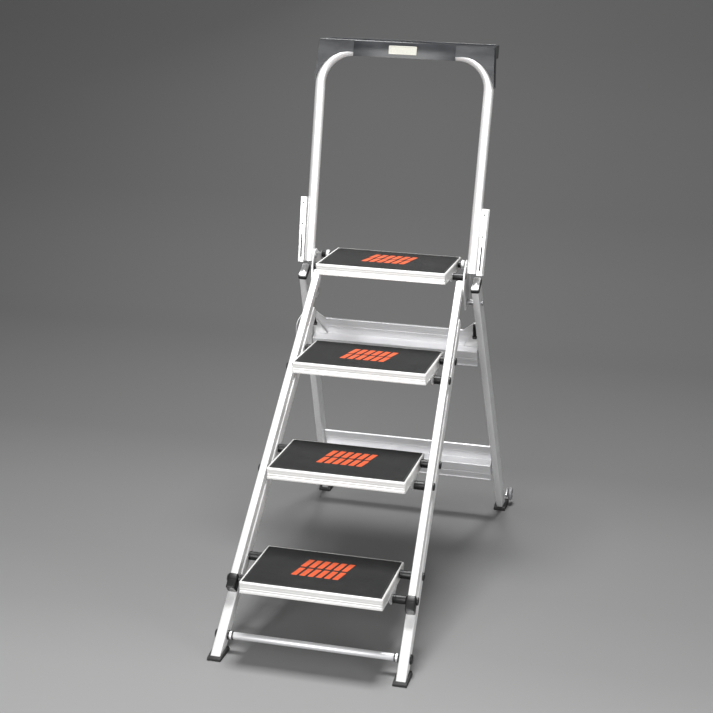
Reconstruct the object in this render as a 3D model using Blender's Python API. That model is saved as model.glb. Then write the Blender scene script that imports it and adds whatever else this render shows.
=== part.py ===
"""Folding platform step ladder: three treads and a top platform on sliding
front rails, splayed rear legs, a U handrail with a shallow tool tray.

Metres, +Z up, treads face -Y, floor at Z = 0. Distances called "back" are
measured from the front edge of the lowest tread, then moved by MID_Y so the
overall box is centred on the origin.
"""

import math

import bmesh
import bpy
from mathutils import Matrix, Vector

# Stair geometry
RISE = 0.229
RUN = 0.227
FIRST_TOP = 0.2146
LEVELS = 4
MID_Y = 0.68025

# Treads
TREAD_W = 0.3734
TREAD_D = 0.257
TREAD_H = 0.031
SHEET = 0.003
RIM = 0.0052
MAT_SINK = 0.003
CLEAR = 0.0003

# Tread pivots, measured from a tread's front top edge
FRONT_PIN_BACK = 0.1199
FRONT_PIN_DROP = 0.046
PIVOT_LENGTH = 0.0884
ROD_R = 0.0045
SLEEVE_R = 0.0100
CAP_R = 0.0100

# Front rails: an upper rail and a lower rail sliding behind it
SLOPE = math.atan2(RISE, RUN)
RAIL_BACK = 0.165
RAIL_HALF = 0.23425
RAIL_TAPER = 0.0285
UPPER_W = 0.020
UPPER_D = 0.026
LOWER_W = 0.026
LOWER_D = 0.036
RAIL_WALL = 0.0022
RAIL_GAP = 0.003
UPPER_START = -0.0925
UPPER_END = 0.898
LOWER_START = -0.300
LOWER_END = 0.790
RUNG_S = -0.2066

# The lower rails and the rear legs end level, this far above the floor
SOLE = 0.0055
SHOE_HALF = 0.0185

# Rear legs: centre line from the top end to the floor end
LEG_TOP = Vector((0.2530, 0.8073, 0.855))
LEG_LOW = Vector((0.2951, 1.3237, 0.0191))
LEG_W = 0.020
LEG_D = 0.050
LEG_WALL = 0.002
LEG_PIVOT_Z = 0.790

# Handrail
HAND_BASE_Y = 0.787
HAND_BASE_Z = 0.767
HAND_LEAN = 0.198
HAND_LOW_Z = 0.881
HAND_TOP_Z = 1.4795
HAND_R = 0.0145
BEND_R = 0.095
HAND_PIVOT_Z = 0.897

# Platform pivots
PLATFORM_PIN = (0.801, 0.871)
PLATFORM_REST = (0.8826, 0.8908)

ALONG = Vector((0.0, math.cos(SLOPE), math.sin(SLOPE)))
BEHIND = Vector((0.0, math.sin(SLOPE), -math.cos(SLOPE)))
UPPER_ORIGIN = Vector((0.0, RAIL_BACK, FIRST_TOP))
LOWER_OFFSET = UPPER_D / 2 + LOWER_D / 2 + RAIL_GAP

for old in list(bpy.data.objects):
    bpy.data.objects.remove(old, do_unlink=True)

scene = bpy.context.scene
parts = bpy.data.collections.new("platform_step_ladder")
cutters = bpy.data.collections.new("cutters")
scene.collection.children.link(parts)
scene.collection.children.link(cutters)
cutters.hide_render = True

MATERIALS = {}


def material(name, color, metallic, roughness):
    mat = bpy.data.materials.new(name)
    mat.use_nodes = True
    shader = mat.node_tree.nodes["Principled BSDF"]
    shader.inputs["Base Color"].default_value = (*color, 1.0)
    shader.inputs["Metallic"].default_value = metallic
    shader.inputs["Roughness"].default_value = roughness
    MATERIALS[name] = mat


material("satin_aluminium", (0.83, 0.84, 0.85), 1.0, 0.35)
material("black_plastic", (0.02, 0.02, 0.022), 0.0, 0.45)
material("tread_rubber", (0.05, 0.05, 0.052), 0.0, 0.85)
material("smoked_plastic", (0.06, 0.062, 0.065), 0.0, 0.2)
material("blank_plate", (0.75, 0.74, 0.66), 0.0, 0.5)
material("zinc_steel", (0.6, 0.6, 0.62), 1.0, 0.4)
material("grey_plastic", (0.25, 0.25, 0.26), 0.0, 0.5)


def to_world(point):
    return Vector((point[0], point[1] - MID_Y, point[2]))


def add(name, mesh, group=parts):
    obj = bpy.data.objects.new(name, mesh)
    group.objects.link(obj)
    return obj


def cutter(name, mesh):
    obj = add(name, mesh, cutters)
    obj.hide_render = True
    obj.display_type = "WIRE"
    return obj


def place(mesh):
    mesh.transform(Matrix.Translation((0.0, -MID_Y, 0.0)))
    return mesh


def finish(obj, mat, pivot=None):
    """Gives the object its material and puts its origin on its joint axis."""
    obj.data.materials.clear()
    obj.data.materials.append(MATERIALS[mat])
    if pivot is not None:
        point = to_world((0.0, pivot[0], pivot[1]))
        obj.data.transform(Matrix.Translation(-point))
        obj.location = point
    return obj


def boolean(obj, other, operation):
    mod = obj.modifiers.new(operation.lower() + "_" + other.name, "BOOLEAN")
    mod.operation = operation
    mod.solver = "EXACT"
    mod.object = other


def box_mesh(name, low, high):
    mesh = bpy.data.meshes.new(name)
    bm = bmesh.new()
    bmesh.ops.create_cube(bm, size=1.0)
    low = Vector(low)
    high = Vector(high)
    for vert in bm.verts:
        for axis in range(3):
            vert.co[axis] = low[axis] + (vert.co[axis] + 0.5) * (high[axis] - low[axis])
    bm.to_mesh(mesh)
    bm.free()
    return mesh


def axes_matrix(start, direction):
    """A frame at start whose Z runs along direction and whose X stays closest to world X."""
    z_axis = direction.normalized()
    x_axis = Vector((1.0, 0.0, 0.0))
    x_axis = (x_axis - z_axis * x_axis.dot(z_axis)).normalized()
    y_axis = z_axis.cross(x_axis)
    rotation = Matrix((x_axis, y_axis, z_axis)).transposed().to_4x4()
    return Matrix.Translation(start) @ rotation


def beam_mesh(name, start, end, width, depth, extra=0.0):
    """A bar of width by depth between two centre points, longer by extra at each end."""
    length = (end - start).length
    mesh = box_mesh(
        name,
        (-width / 2, -depth / 2, -extra),
        (width / 2, depth / 2, length + extra),
    )
    mesh.transform(axes_matrix(start, end - start))
    return place(mesh)


def rod_mesh(name, y, z, x0, x1, radius, segments=20):
    """A cylinder along X at one height."""
    mesh = bpy.data.meshes.new(name)
    bm = bmesh.new()
    bmesh.ops.create_cone(
        bm,
        cap_ends=True,
        segments=segments,
        radius1=radius,
        radius2=radius,
        depth=abs(x1 - x0),
    )
    bm.to_mesh(mesh)
    bm.free()
    mesh.transform(Matrix.Rotation(math.pi / 2, 4, "Y"))
    mesh.transform(Matrix.Translation(((x0 + x1) / 2, y, z)))
    return place(mesh)


def prism_mesh(name, outline, x0, x1):
    """An outline of (y, z) points swept along X."""
    mesh = bpy.data.meshes.new(name)
    bm = bmesh.new()
    ring = [bm.verts.new((x0, y, z)) for y, z in outline]
    face = bm.faces.new(ring)
    swept = bmesh.ops.extrude_face_region(bm, geom=[face])
    moved = [item for item in swept["geom"] if isinstance(item, bmesh.types.BMVert)]
    bmesh.ops.translate(bm, verts=moved, vec=(x1 - x0, 0.0, 0.0))
    bmesh.ops.recalc_face_normals(bm, faces=bm.faces)
    bm.to_mesh(mesh)
    bm.free()
    return place(mesh)


def turned_mesh(name, profile, y, z, segments=20):
    """A stepped rod along X: profile lists (x, radius) from one end to the other."""
    mesh = bpy.data.meshes.new(name)
    bm = bmesh.new()
    rings = []
    for x, radius in profile:
        ring = []
        for step in range(segments):
            angle = 2 * math.pi * step / segments
            ring.append(bm.verts.new((x, y + radius * math.cos(angle), z + radius * math.sin(angle))))
        rings.append(ring)
    for first, second in zip(rings, rings[1:]):
        for step in range(segments):
            after = (step + 1) % segments
            bm.faces.new((first[step], first[after], second[after], second[step]))
    bm.faces.new(rings[0])
    bm.faces.new(rings[-1])
    bmesh.ops.recalc_face_normals(bm, faces=bm.faces)
    bm.to_mesh(mesh)
    bm.free()
    return place(mesh)


def rail_half(s):
    """Half the distance between the two rails' centre lines, s along the rail."""
    return RAIL_HALF - RAIL_TAPER * s


def rail_point(side, s, behind=0.0):
    point = UPPER_ORIGIN + ALONG * s + BEHIND * behind
    return Vector((side * rail_half(s), point.y, point.z))


def along_rail(y, z):
    """How far along the rail direction a (back, height) point lies."""
    return (Vector((0.0, y, z)) - UPPER_ORIGIN).dot(ALONG)


def tread_front(level):
    return RUN * level


def tread_top(level):
    return FIRST_TOP + RISE * level


def front_pin(level):
    if level == LEVELS - 1:
        return PLATFORM_PIN
    return (tread_front(level) + FRONT_PIN_BACK, tread_top(level) - FRONT_PIN_DROP)


def rear_pin(level):
    if level == LEVELS - 1:
        return PLATFORM_REST
    y, z = front_pin(level)
    return (y + PIVOT_LENGTH * math.cos(SLOPE / 2), z + PIVOT_LENGTH * math.sin(SLOPE / 2))


def leg_point(z):
    return LEG_TOP + (LEG_LOW - LEG_TOP) * ((LEG_TOP.z - z) / (LEG_TOP.z - LEG_LOW.z))


def level_cut(mesh, height):
    """Cuts a mesh off level at a height, keeps what is above and closes the cut."""
    bm = bmesh.new()
    bm.from_mesh(mesh)
    everything = bm.verts[:] + bm.edges[:] + bm.faces[:]
    cut = bmesh.ops.bisect_plane(
        bm,
        geom=everything,
        plane_co=(0.0, 0.0, height),
        plane_no=(0.0, 0.0, 1.0),
        clear_inner=True,
    )
    rim = [item for item in cut["geom_cut"] if isinstance(item, bmesh.types.BMEdge)]
    bmesh.ops.edgeloop_fill(bm, edges=rim)
    bmesh.ops.recalc_face_normals(bm, faces=bm.faces)
    bm.to_mesh(mesh)
    bm.free()
    return mesh


def mirrored(point, side):
    return Vector((side * point.x, point.y, point.z))


def hand_y(z):
    return HAND_BASE_Y + HAND_LEAN * (z - HAND_BASE_Z)


LEG_PIVOT_3D = leg_point(LEG_PIVOT_Z)
LEG_PIVOT = (LEG_PIVOT_3D.y, LEG_PIVOT_3D.z)
HAND_PIVOT = (hand_y(HAND_PIVOT_Z), HAND_PIVOT_Z)
LEG_DOWN = (LEG_LOW - LEG_TOP).normalized()
LEG_DOWN_FLAT = Vector((0.0, LEG_DOWN.y, LEG_DOWN.z)).normalized()
LEG_BEHIND = Vector((0.0, -LEG_DOWN_FLAT.z, LEG_DOWN_FLAT.y))

SIDES = (("left", -1), ("right", 1))

# ---------------------------------------------------------------- front frame
for side_name, side in SIDES:
    start = rail_point(side, UPPER_START)
    end = rail_point(side, UPPER_END)
    rail = add("rail_upper_" + side_name, beam_mesh("rail_upper_" + side_name, start, end, UPPER_W, UPPER_D))
    inner_w = UPPER_W - 2 * RAIL_WALL
    inner_d = UPPER_D - 2 * RAIL_WALL
    bore = cutter(
        "bore_upper_" + side_name,
        beam_mesh("bore_upper_" + side_name, start, end, inner_w, inner_d, 0.02),
    )
    boolean(rail, bore, "DIFFERENCE")
    for level in range(LEVELS - 1):
        y, z = front_pin(level)
        hole_name = f"hole_front_{level + 1}_{side_name}"
        hole = cutter(hole_name, rod_mesh(hole_name, y, z, side * 0.150, side * 0.300, ROD_R + CLEAR))
        boolean(rail, hole, "DIFFERENCE")
    finish(rail, "satin_aluminium")

    # Moulded boot on the lower end of the upper rail
    boot_low = rail_point(side, UPPER_START - 0.004)
    boot_high = rail_point(side, UPPER_START + 0.036)
    boot_name = "rail_boot_" + side_name
    boot = add(boot_name, beam_mesh(boot_name, boot_low, boot_high, UPPER_W + 0.005, UPPER_D + 0.0056))
    socket = cutter(
        "socket_" + boot_name,
        beam_mesh("socket_" + boot_name, start - ALONG * CLEAR, end, UPPER_W + 2 * CLEAR, UPPER_D + 2 * CLEAR),
    )
    boolean(boot, socket, "DIFFERENCE")
    boolean(boot, cutters.objects["hole_front_1_" + side_name], "DIFFERENCE")
    finish(boot, "black_plastic")

    # Plug closing the upper end
    plug_name = "rail_plug_" + side_name
    plug_low = rail_point(side, UPPER_END - 0.012)
    plug_mid = rail_point(side, UPPER_END + CLEAR)
    plug_high = rail_point(side, UPPER_END + 0.004)
    plug = add(plug_name, beam_mesh(plug_name, plug_mid, plug_high, UPPER_W, UPPER_D))
    stem = cutter(
        "stem_" + plug_name,
        beam_mesh("stem_" + plug_name, plug_low, plug_high, inner_w - 2 * CLEAR, inner_d - 2 * CLEAR, -0.001),
    )
    boolean(plug, stem, "UNION")
    finish(plug, "black_plastic")

# Head plates: carry the platform pivot, its rear rest, the rear leg and handrail pivots
HEAD_IN = 0.2200
HEAD_T = 0.0036
HEAD_OUTLINE = (
    (0.776, 0.834),
    (0.806, 0.792),
    (0.836, 0.768),
    (0.862, 0.774),
    (0.897, 0.854),
    (0.900, 0.897),
    (0.868, 0.897),
    (0.845, 0.904),
    (0.822, 0.917),
    (0.800, 0.914),
    (0.782, 0.887),
)
for side_name, side in SIDES:
    name = "head_plate_" + side_name
    plate = add(name, prism_mesh(name, HEAD_OUTLINE, side * HEAD_IN, side * (HEAD_IN + HEAD_T)))
    holes = (
        ("pin", front_pin(3), ROD_R + CLEAR),
        ("leg", LEG_PIVOT, 0.0050 + CLEAR),
        ("hand", HAND_PIVOT, 0.0040 + CLEAR),
    )
    for tag, (y, z), radius in holes:
        hole_name = f"hole_{tag}_{name}"
        hole = cutter(hole_name, rod_mesh(hole_name, y, z, side * 0.21, side * 0.24, radius))
        boolean(plate, hole, "DIFFERENCE")
    # Open notch that the platform's rear rod drops into
    y, z = PLATFORM_REST
    notch_r = ROD_R + CLEAR
    notch_outline = [(y - notch_r - 0.007, z + 0.02)]
    for step in range(9):
        angle = math.pi + math.pi * step / 8
        notch_outline.append((y + notch_r * math.cos(angle), z + notch_r * math.sin(angle)))
    notch_outline.append((y + notch_r, z + 0.02))
    notch = cutter("notch_" + name, prism_mesh("notch_" + name, notch_outline, side * 0.21, side * 0.24))
    boolean(plate, notch, "DIFFERENCE")
    finish(plate, "satin_aluminium")

# ---------------------------------------------------------------- leg frame
for side_name, side in SIDES:
    start = rail_point(side, LOWER_START, LOWER_OFFSET)
    end = rail_point(side, LOWER_END, LOWER_OFFSET)
    name = "rail_lower_" + side_name
    rail = add(name, level_cut(beam_mesh(name, start, end, LOWER_W, LOWER_D), SOLE))
    bore = cutter(
        "bore_" + name,
        beam_mesh("bore_" + name, start, end, LOWER_W - 2 * RAIL_WALL, LOWER_D - 2 * RAIL_WALL, 0.02),
    )
    boolean(rail, bore, "DIFFERENCE")
    for level in range(LEVELS - 1):
        y, z = rear_pin(level)
        hole_name = f"hole_rear_{level + 1}_{side_name}"
        hole = cutter(hole_name, rod_mesh(hole_name, y, z, side * 0.150, side * 0.300, ROD_R + CLEAR))
        boolean(rail, hole, "DIFFERENCE")
    rung_at = rail_point(side, RUNG_S, LOWER_OFFSET)
    hole_name = "hole_rung_" + side_name
    hole = cutter(
        hole_name,
        rod_mesh(hole_name, rung_at.y, rung_at.z, side * 0.150, side * 0.300, 0.0060 + CLEAR),
    )
    boolean(rail, hole, "DIFFERENCE")
    finish(rail, "satin_aluminium", rear_pin(0))

    # Rubber foot
    name = "front_foot_" + side_name
    foot_x = rail_half(-0.2608)
    foot_outline = (
        (-0.0275, 0.0),
        (0.0500, 0.0),
        (0.0490, 0.006),
        (0.0370, 0.017),
        (-0.0190, 0.0095),
        (-0.0275, 0.006),
    )
    foot = add(name, prism_mesh(name, foot_outline, side * (foot_x - SHOE_HALF), side * (foot_x + SHOE_HALF)))
    socket_mesh = beam_mesh("socket_" + name, start, end, LOWER_W + 2 * CLEAR, LOWER_D + 2 * CLEAR)
    socket = cutter("socket_" + name, level_cut(socket_mesh, SOLE - CLEAR))
    boolean(foot, socket, "DIFFERENCE")
    finish(foot, "black_plastic", rear_pin(0))

# Bottom rung with its bushings
rung_at = rail_point(1, RUNG_S, LOWER_OFFSET)
rung_in = rail_half(RUNG_S) - LOWER_W / 2 - 0.0006
rung_out = rail_half(RUNG_S) + LOWER_W / 2 + 0.0006
rung_profile = (
    (-rung_out - 0.004, 0.0060),
    (-rung_in + 0.0145, 0.0060),
    (-rung_in + 0.0145, 0.0095),
    (rung_in - 0.0145, 0.0095),
    (rung_in - 0.0145, 0.0060),
    (rung_out + 0.004, 0.0060),
)
rung = add("bottom_rung", turned_mesh("bottom_rung", rung_profile, rung_at.y, rung_at.z))
finish(rung, "satin_aluminium", rear_pin(0))
for side_name, side in SIDES:
    name = "rung_bushing_" + side_name
    bushing = add(
        name,
        rod_mesh(name, rung_at.y, rung_at.z, side * (rung_in - 0.0142), side * rung_in, 0.0125, 24),
    )
    hole = cutter(
        "hole_" + name,
        rod_mesh("hole_" + name, rung_at.y, rung_at.z, side * 0.15, side * 0.30, 0.0060 + CLEAR),
    )
    boolean(bushing, hole, "DIFFERENCE")
    finish(bushing, "black_plastic", rear_pin(0))

# ---------------------------------------------------------------- treads
for level in range(LEVELS):
    front = tread_front(level)
    top = tread_top(level)
    half = TREAD_W / 2
    word = "platform" if level == LEVELS - 1 else f"step_{level + 1}"
    pin_y, pin_z = front_pin(level)
    rest_y, rest_z = rear_pin(level)
    name = word + "_frame"
    low = (-half, front, top - TREAD_H)
    high = (half, front + TREAD_D, top)
    frame = add(name, place(box_mesh(name, low, high)))
    for side_name, side in SIDES:
        cheek_name = f"cheek_{word}_{side_name}"
        cheek_outline = (
            (pin_y - 0.055, top - 0.006),
            (pin_y - 0.055, top - TREAD_H),
            (pin_y - 0.014, pin_z - 0.012),
            (pin_y + 0.014, pin_z - 0.012),
            (pin_y + 0.055, top - TREAD_H),
            (pin_y + 0.055, top - 0.006),
        )
        cheek = cutter(
            cheek_name,
            prism_mesh(cheek_name, cheek_outline, side * (half - SHEET), side * half),
        )
        boolean(frame, cheek, "UNION")
    hollow = cutter(
        "hollow_" + word,
        place(
            box_mesh(
                "hollow_" + word,
                (-half + SHEET, front + SHEET, top - 0.09),
                (half - SHEET, front + TREAD_D - SHEET, top - MAT_SINK - 0.0025),
            )
        ),
    )
    boolean(frame, hollow, "DIFFERENCE")
    recess = cutter(
        "recess_" + word,
        place(
            box_mesh(
                "recess_" + word,
                (-half + RIM, front + RIM, top - MAT_SINK),
                (half - RIM, front + TREAD_D - RIM, top + 0.01),
            )
        ),
    )
    boolean(frame, recess, "DIFFERENCE")
    for tag, (y, z) in (("front", (pin_y, pin_z)), ("rear", (rest_y, rest_z))):
        hole_name = f"hole_{tag}_{word}"
        hole = cutter(hole_name, rod_mesh(hole_name, y, z, -0.25, 0.25, ROD_R + CLEAR))
        boolean(frame, hole, "DIFFERENCE")
    finish(frame, "satin_aluminium", front_pin(level))

    name = word + "_mat"
    mat_gap = RIM + CLEAR
    mat_obj = add(
        name,
        place(
            box_mesh(
                name,
                (-half + mat_gap, front + mat_gap, top - MAT_SINK + CLEAR),
                (half - mat_gap, front + TREAD_D - mat_gap, top + 0.0006),
            )
        ),
    )
    finish(mat_obj, "tread_rubber", front_pin(level))

    # Front and rear cross rods with spacer sleeves and end caps
    tread_gap = half + 0.0006
    for tag, (y, z), depth in (("front", (pin_y, pin_z), UPPER_W), ("rear", (rest_y, rest_z), LOWER_W)):
        s = along_rail(y, z)
        if level == LEVELS - 1 and tag == "rear":
            profile = (
                (-0.2245, ROD_R),
                (-HEAD_IN + 0.0006, ROD_R),
                (-HEAD_IN + 0.0006, SLEEVE_R),
                (-tread_gap, SLEEVE_R),
                (-tread_gap, ROD_R),
                (tread_gap, ROD_R),
                (tread_gap, SLEEVE_R),
                (HEAD_IN - 0.0006, SLEEVE_R),
                (HEAD_IN - 0.0006, ROD_R),
                (0.2245, ROD_R),
            )
        else:
            inner = rail_half(s) - depth / 2 - 0.0012
            outer = rail_half(s) + depth / 2 + 0.0012
            if level == 0 and tag == "front":
                inner -= 0.0026
                outer += 0.0026
            cap = 0.004
            cap_r = CAP_R
            if level == LEVELS - 1:
                inner = HEAD_IN - 0.0006
                outer = HEAD_IN + HEAD_T + 0.0006
                cap = 0.0008
                cap_r = 0.0065
            profile = (
                (-outer - cap, cap_r),
                (-outer, cap_r),
                (-outer, ROD_R),
                (-inner, ROD_R),
                (-inner, SLEEVE_R),
                (-tread_gap, SLEEVE_R),
                (-tread_gap, ROD_R),
                (tread_gap, ROD_R),
                (tread_gap, SLEEVE_R),
                (inner, SLEEVE_R),
                (inner, ROD_R),
                (outer, ROD_R),
                (outer, cap_r),
                (outer + cap, cap_r),
            )
        name = f"rod_{tag}_{word}"
        rod = add(name, turned_mesh(name, profile, y, z))
        finish(rod, "black_plastic", front_pin(level))

# ---------------------------------------------------------------- rear frame
for side_name, side in SIDES:
    top_end = mirrored(LEG_TOP, side)
    low_end = mirrored(LEG_LOW, side)
    name = "rear_leg_" + side_name
    below = low_end + (low_end - top_end).normalized() * 0.04
    leg = add(name, level_cut(beam_mesh(name, top_end, below, LEG_W, LEG_D), SOLE))
    bore = cutter(
        "bore_" + name,
        beam_mesh("bore_" + name, top_end, below, LEG_W - 2 * LEG_WALL, LEG_D - 2 * LEG_WALL, 0.02),
    )
    boolean(leg, bore, "DIFFERENCE")
    hole = cutter(
        "hole_pivot_" + name,
        rod_mesh("hole_pivot_" + name, *LEG_PIVOT, side * 0.20, side * 0.32, 0.0050 + CLEAR),
    )
    boolean(leg, hole, "DIFFERENCE")
    finish(leg, "satin_aluminium", LEG_PIVOT)

    # Pivot bolt through head plate and leg, with a spacer between them
    pivot_x = LEG_PIVOT_3D.x
    name = "leg_bolt_" + side_name
    profile = (
        (side * (HEAD_IN - 0.0034), 0.0080),
        (side * (HEAD_IN - 0.0006), 0.0080),
        (side * (HEAD_IN - 0.0006), 0.0050),
        (side * (HEAD_IN + HEAD_T + 0.0006), 0.0050),
        (side * (HEAD_IN + HEAD_T + 0.0006), 0.0095),
        (side * (pivot_x - LEG_W / 2 - 0.0020), 0.0095),
        (side * (pivot_x - LEG_W / 2 - 0.0020), 0.0050),
        (side * (pivot_x + LEG_W / 2 + 0.0020), 0.0050),
        (side * (pivot_x + LEG_W / 2 + 0.0020), 0.0085),
        (side * (pivot_x + LEG_W / 2 + 0.0055), 0.0085),
    )
    bolt = add(name, turned_mesh(name, profile, *LEG_PIVOT))
    finish(bolt, "zinc_steel", LEG_PIVOT)

    # Moulded collar over the leg's upper end
    name = "leg_collar_" + side_name
    collar_low = top_end + (low_end - top_end).normalized() * 0.0145
    collar_high = top_end + (low_end - top_end).normalized() * 0.0050
    collar = add(name, beam_mesh(name, collar_high, collar_low, LEG_W + 0.005, LEG_D + 0.005))
    socket = cutter(
        "socket_" + name,
        beam_mesh("socket_" + name, top_end, low_end, LEG_W + 2 * CLEAR, LEG_D + 2 * CLEAR, CLEAR),
    )
    boolean(collar, socket, "DIFFERENCE")
    finish(collar, "black_plastic", LEG_PIVOT)

    # Rear foot
    name = "rear_foot_" + side_name
    foot_x = LEG_LOW.x
    foot_outline = (
        (1.2945, 0.0),
        (1.3880, 0.0),
        (1.3870, 0.007),
        (1.3760, 0.014),
        (1.3000, 0.014),
        (1.2945, 0.009),
    )
    foot = add(name, prism_mesh(name, foot_outline, side * (foot_x - SHOE_HALF), side * (foot_x + SHOE_HALF)))
    socket_mesh = beam_mesh("socket_" + name, top_end, below, LEG_W + 2 * CLEAR, LEG_D + 2 * CLEAR)
    socket = cutter("socket_" + name, level_cut(socket_mesh, SOLE - CLEAR))
    boolean(foot, socket, "DIFFERENCE")
    finish(foot, "black_plastic", LEG_PIVOT)

# Cross bars with a step in their section
BAR_LEDGE = 0.027
BAR_T = 0.003


def leg_frame_point(s, behind):
    """A (back, height) point at s above the floor along the leg, behind its front face."""
    foot = Vector((0.0, 1.3056, -0.008))
    point = foot - LEG_DOWN_FLAT * s + LEG_BEHIND * behind
    return (point.y, point.z)


for word, s_low, s_ledge, s_top in (("lower", 0.158, 0.223, 0.291), ("upper", 0.684, 0.741, 0.807)):
    outline = (
        leg_frame_point(s_low, 0.0),
        leg_frame_point(s_ledge + BAR_T, 0.0),
        leg_frame_point(s_ledge + BAR_T, BAR_LEDGE),
        leg_frame_point(s_top, BAR_LEDGE),
        leg_frame_point(s_top, BAR_LEDGE + BAR_T),
        leg_frame_point(s_ledge, BAR_LEDGE + BAR_T),
        leg_frame_point(s_ledge, BAR_T),
        leg_frame_point(s_low, BAR_T),
    )
    top_z = leg_frame_point(s_top, BAR_LEDGE)[1]
    half = leg_point(top_z).x - LEG_W / 2 - 0.0016
    name = "rear_bar_" + word
    bar = add(name, prism_mesh(name, outline, -half, half))
    finish(bar, "satin_aluminium", LEG_PIVOT)

# Gusset plates standing on the upper bar's ledge at each end
for side_name, side in SIDES:
    name = "bar_gusset_" + side_name
    gusset_out = leg_point(leg_frame_point(0.807, BAR_LEDGE)[1]).x - LEG_W / 2 - 0.0016
    gusset_in = gusset_out - 0.042
    ledge_s = 0.741 + BAR_T + CLEAR
    mesh = bpy.data.meshes.new(name)
    bm = bmesh.new()
    ring = []
    for x, s in ((gusset_in, ledge_s), (gusset_out, ledge_s), (gusset_out, 0.812), (gusset_out - 0.008, 0.812)):
        y, z = leg_frame_point(s, BAR_LEDGE - 0.006)
        ring.append(bm.verts.new((side * x, y, z)))
    face = bm.faces.new(ring)
    swept = bmesh.ops.extrude_face_region(bm, geom=[face])
    moved = [item for item in swept["geom"] if isinstance(item, bmesh.types.BMVert)]
    bmesh.ops.translate(bm, verts=moved, vec=LEG_BEHIND * 0.003)
    bmesh.ops.recalc_face_normals(bm, faces=bm.faces)
    bm.to_mesh(mesh)
    bm.free()
    gusset = add(name, place(mesh))
    finish(gusset, "satin_aluminium", LEG_PIVOT)

# Transport wheels on stub axles behind the feet
WHEEL_Y = 1.362
WHEEL_Z = 0.038
WHEEL_R = 0.021
for side_name, side in SIDES:
    axle_x = leg_point(WHEEL_Z).x
    name = "wheel_bracket_" + side_name
    bracket_outline = (
        (1.300, 0.054),
        (1.3335, 0.070),
        (1.372, 0.044),
        (1.366, 0.030),
        (1.352, 0.030),
        (1.310, 0.044),
    )
    x_in = axle_x + LEG_W / 2 + 0.0078
    bracket = add(name, prism_mesh(name, bracket_outline, side * x_in, side * (x_in + 0.003)))
    hole = cutter(
        "hole_" + name,
        rod_mesh("hole_" + name, WHEEL_Y, WHEEL_Z, side * 0.28, side * 0.36, 0.0030 + CLEAR),
    )
    boolean(bracket, hole, "DIFFERENCE")
    finish(bracket, "zinc_steel", LEG_PIVOT)

    name = "wheel_axle_" + side_name
    profile = (
        (side * (x_in - 0.0020), 0.0055),
        (side * (x_in - 0.0003), 0.0055),
        (side * (x_in - 0.0003), 0.0030),
        (side * (x_in + 0.0148), 0.0030),
        (side * (x_in + 0.0148), 0.0055),
        (side * (x_in + 0.0165), 0.0055),
    )
    axle = add(name, turned_mesh(name, profile, WHEEL_Y, WHEEL_Z, 16))
    finish(axle, "zinc_steel", LEG_PIVOT)

    name = "wheel_" + side_name
    wheel = add(
        name,
        rod_mesh(name, WHEEL_Y, WHEEL_Z, side * (x_in + 0.0034), side * (x_in + 0.0144), WHEEL_R, 32),
    )
    hole = cutter(
        "hole_" + name,
        rod_mesh("hole_" + name, WHEEL_Y, WHEEL_Z, side * 0.28, side * 0.36, 0.0030 + CLEAR, 16),
    )
    boolean(wheel, hole, "DIFFERENCE")
    finish(wheel, "grey_plastic", (WHEEL_Y, WHEEL_Z))

# ---------------------------------------------------------------- handrail
HAND_HALF_LOW = 0.2386
HAND_HALF_HIGH = 0.2450


def hand_path(lean_back=0.0):
    """Centre line of the U, from the left foot over the top to the right foot."""
    low_z = HAND_LOW_Z
    bend_z = HAND_TOP_Z - BEND_R
    points = []
    for step in range(4):
        z = low_z + (bend_z - low_z) * step / 3
        x = HAND_HALF_LOW + (HAND_HALF_HIGH - HAND_HALF_LOW) * step / 3
        points.append((-x, z))
    for step in range(1, 12):
        angle = math.pi - math.pi / 2 * step / 12
        x = -(HAND_HALF_HIGH - BEND_R) + BEND_R * math.cos(angle)
        points.append((x, bend_z + BEND_R * math.sin(angle)))
    points.append((-(HAND_HALF_HIGH - BEND_R), HAND_TOP_Z))
    for x, z in reversed(list(points)):
        points.append((-x, z))
    return [Vector((x, hand_y(z), z)) for x, z in points]


def tube_mesh(name, points, radius, resolution):
    """A round bar following a line of points, closed at both ends."""
    data = bpy.data.curves.new(name, "CURVE")
    data.dimensions = "3D"
    spline = data.splines.new("POLY")
    spline.points.add(len(points) - 1)
    for item, point in zip(spline.points, points):
        item.co = (*point, 1.0)
    data.bevel_depth = radius
    data.bevel_resolution = resolution
    data.use_fill_caps = True
    holder = bpy.data.objects.new(name + "_path", data)
    cutters.objects.link(holder)
    depsgraph = bpy.context.evaluated_depsgraph_get()
    mesh = bpy.data.meshes.new_from_object(holder.evaluated_get(depsgraph))
    bpy.data.objects.remove(holder, do_unlink=True)
    bm = bmesh.new()
    bm.from_mesh(mesh)
    bmesh.ops.remove_doubles(bm, verts=bm.verts, dist=0.00005)
    bmesh.ops.recalc_face_normals(bm, faces=bm.faces)
    bm.to_mesh(mesh)
    bm.free()
    return place(mesh)


hand_mesh = tube_mesh("handrail_tube", hand_path(), HAND_R, 2)
handrail = add("handrail_tube", hand_mesh)
for side_name, side in SIDES:
    hole_name = "hole_hand_" + side_name
    hole = cutter(
        hole_name,
        rod_mesh(hole_name, *HAND_PIVOT, side * 0.21, side * 0.27, 0.0040 + CLEAR),
    )
    boolean(handrail, hole, "DIFFERENCE")
finish(handrail, "satin_aluminium", HAND_PIVOT)

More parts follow.
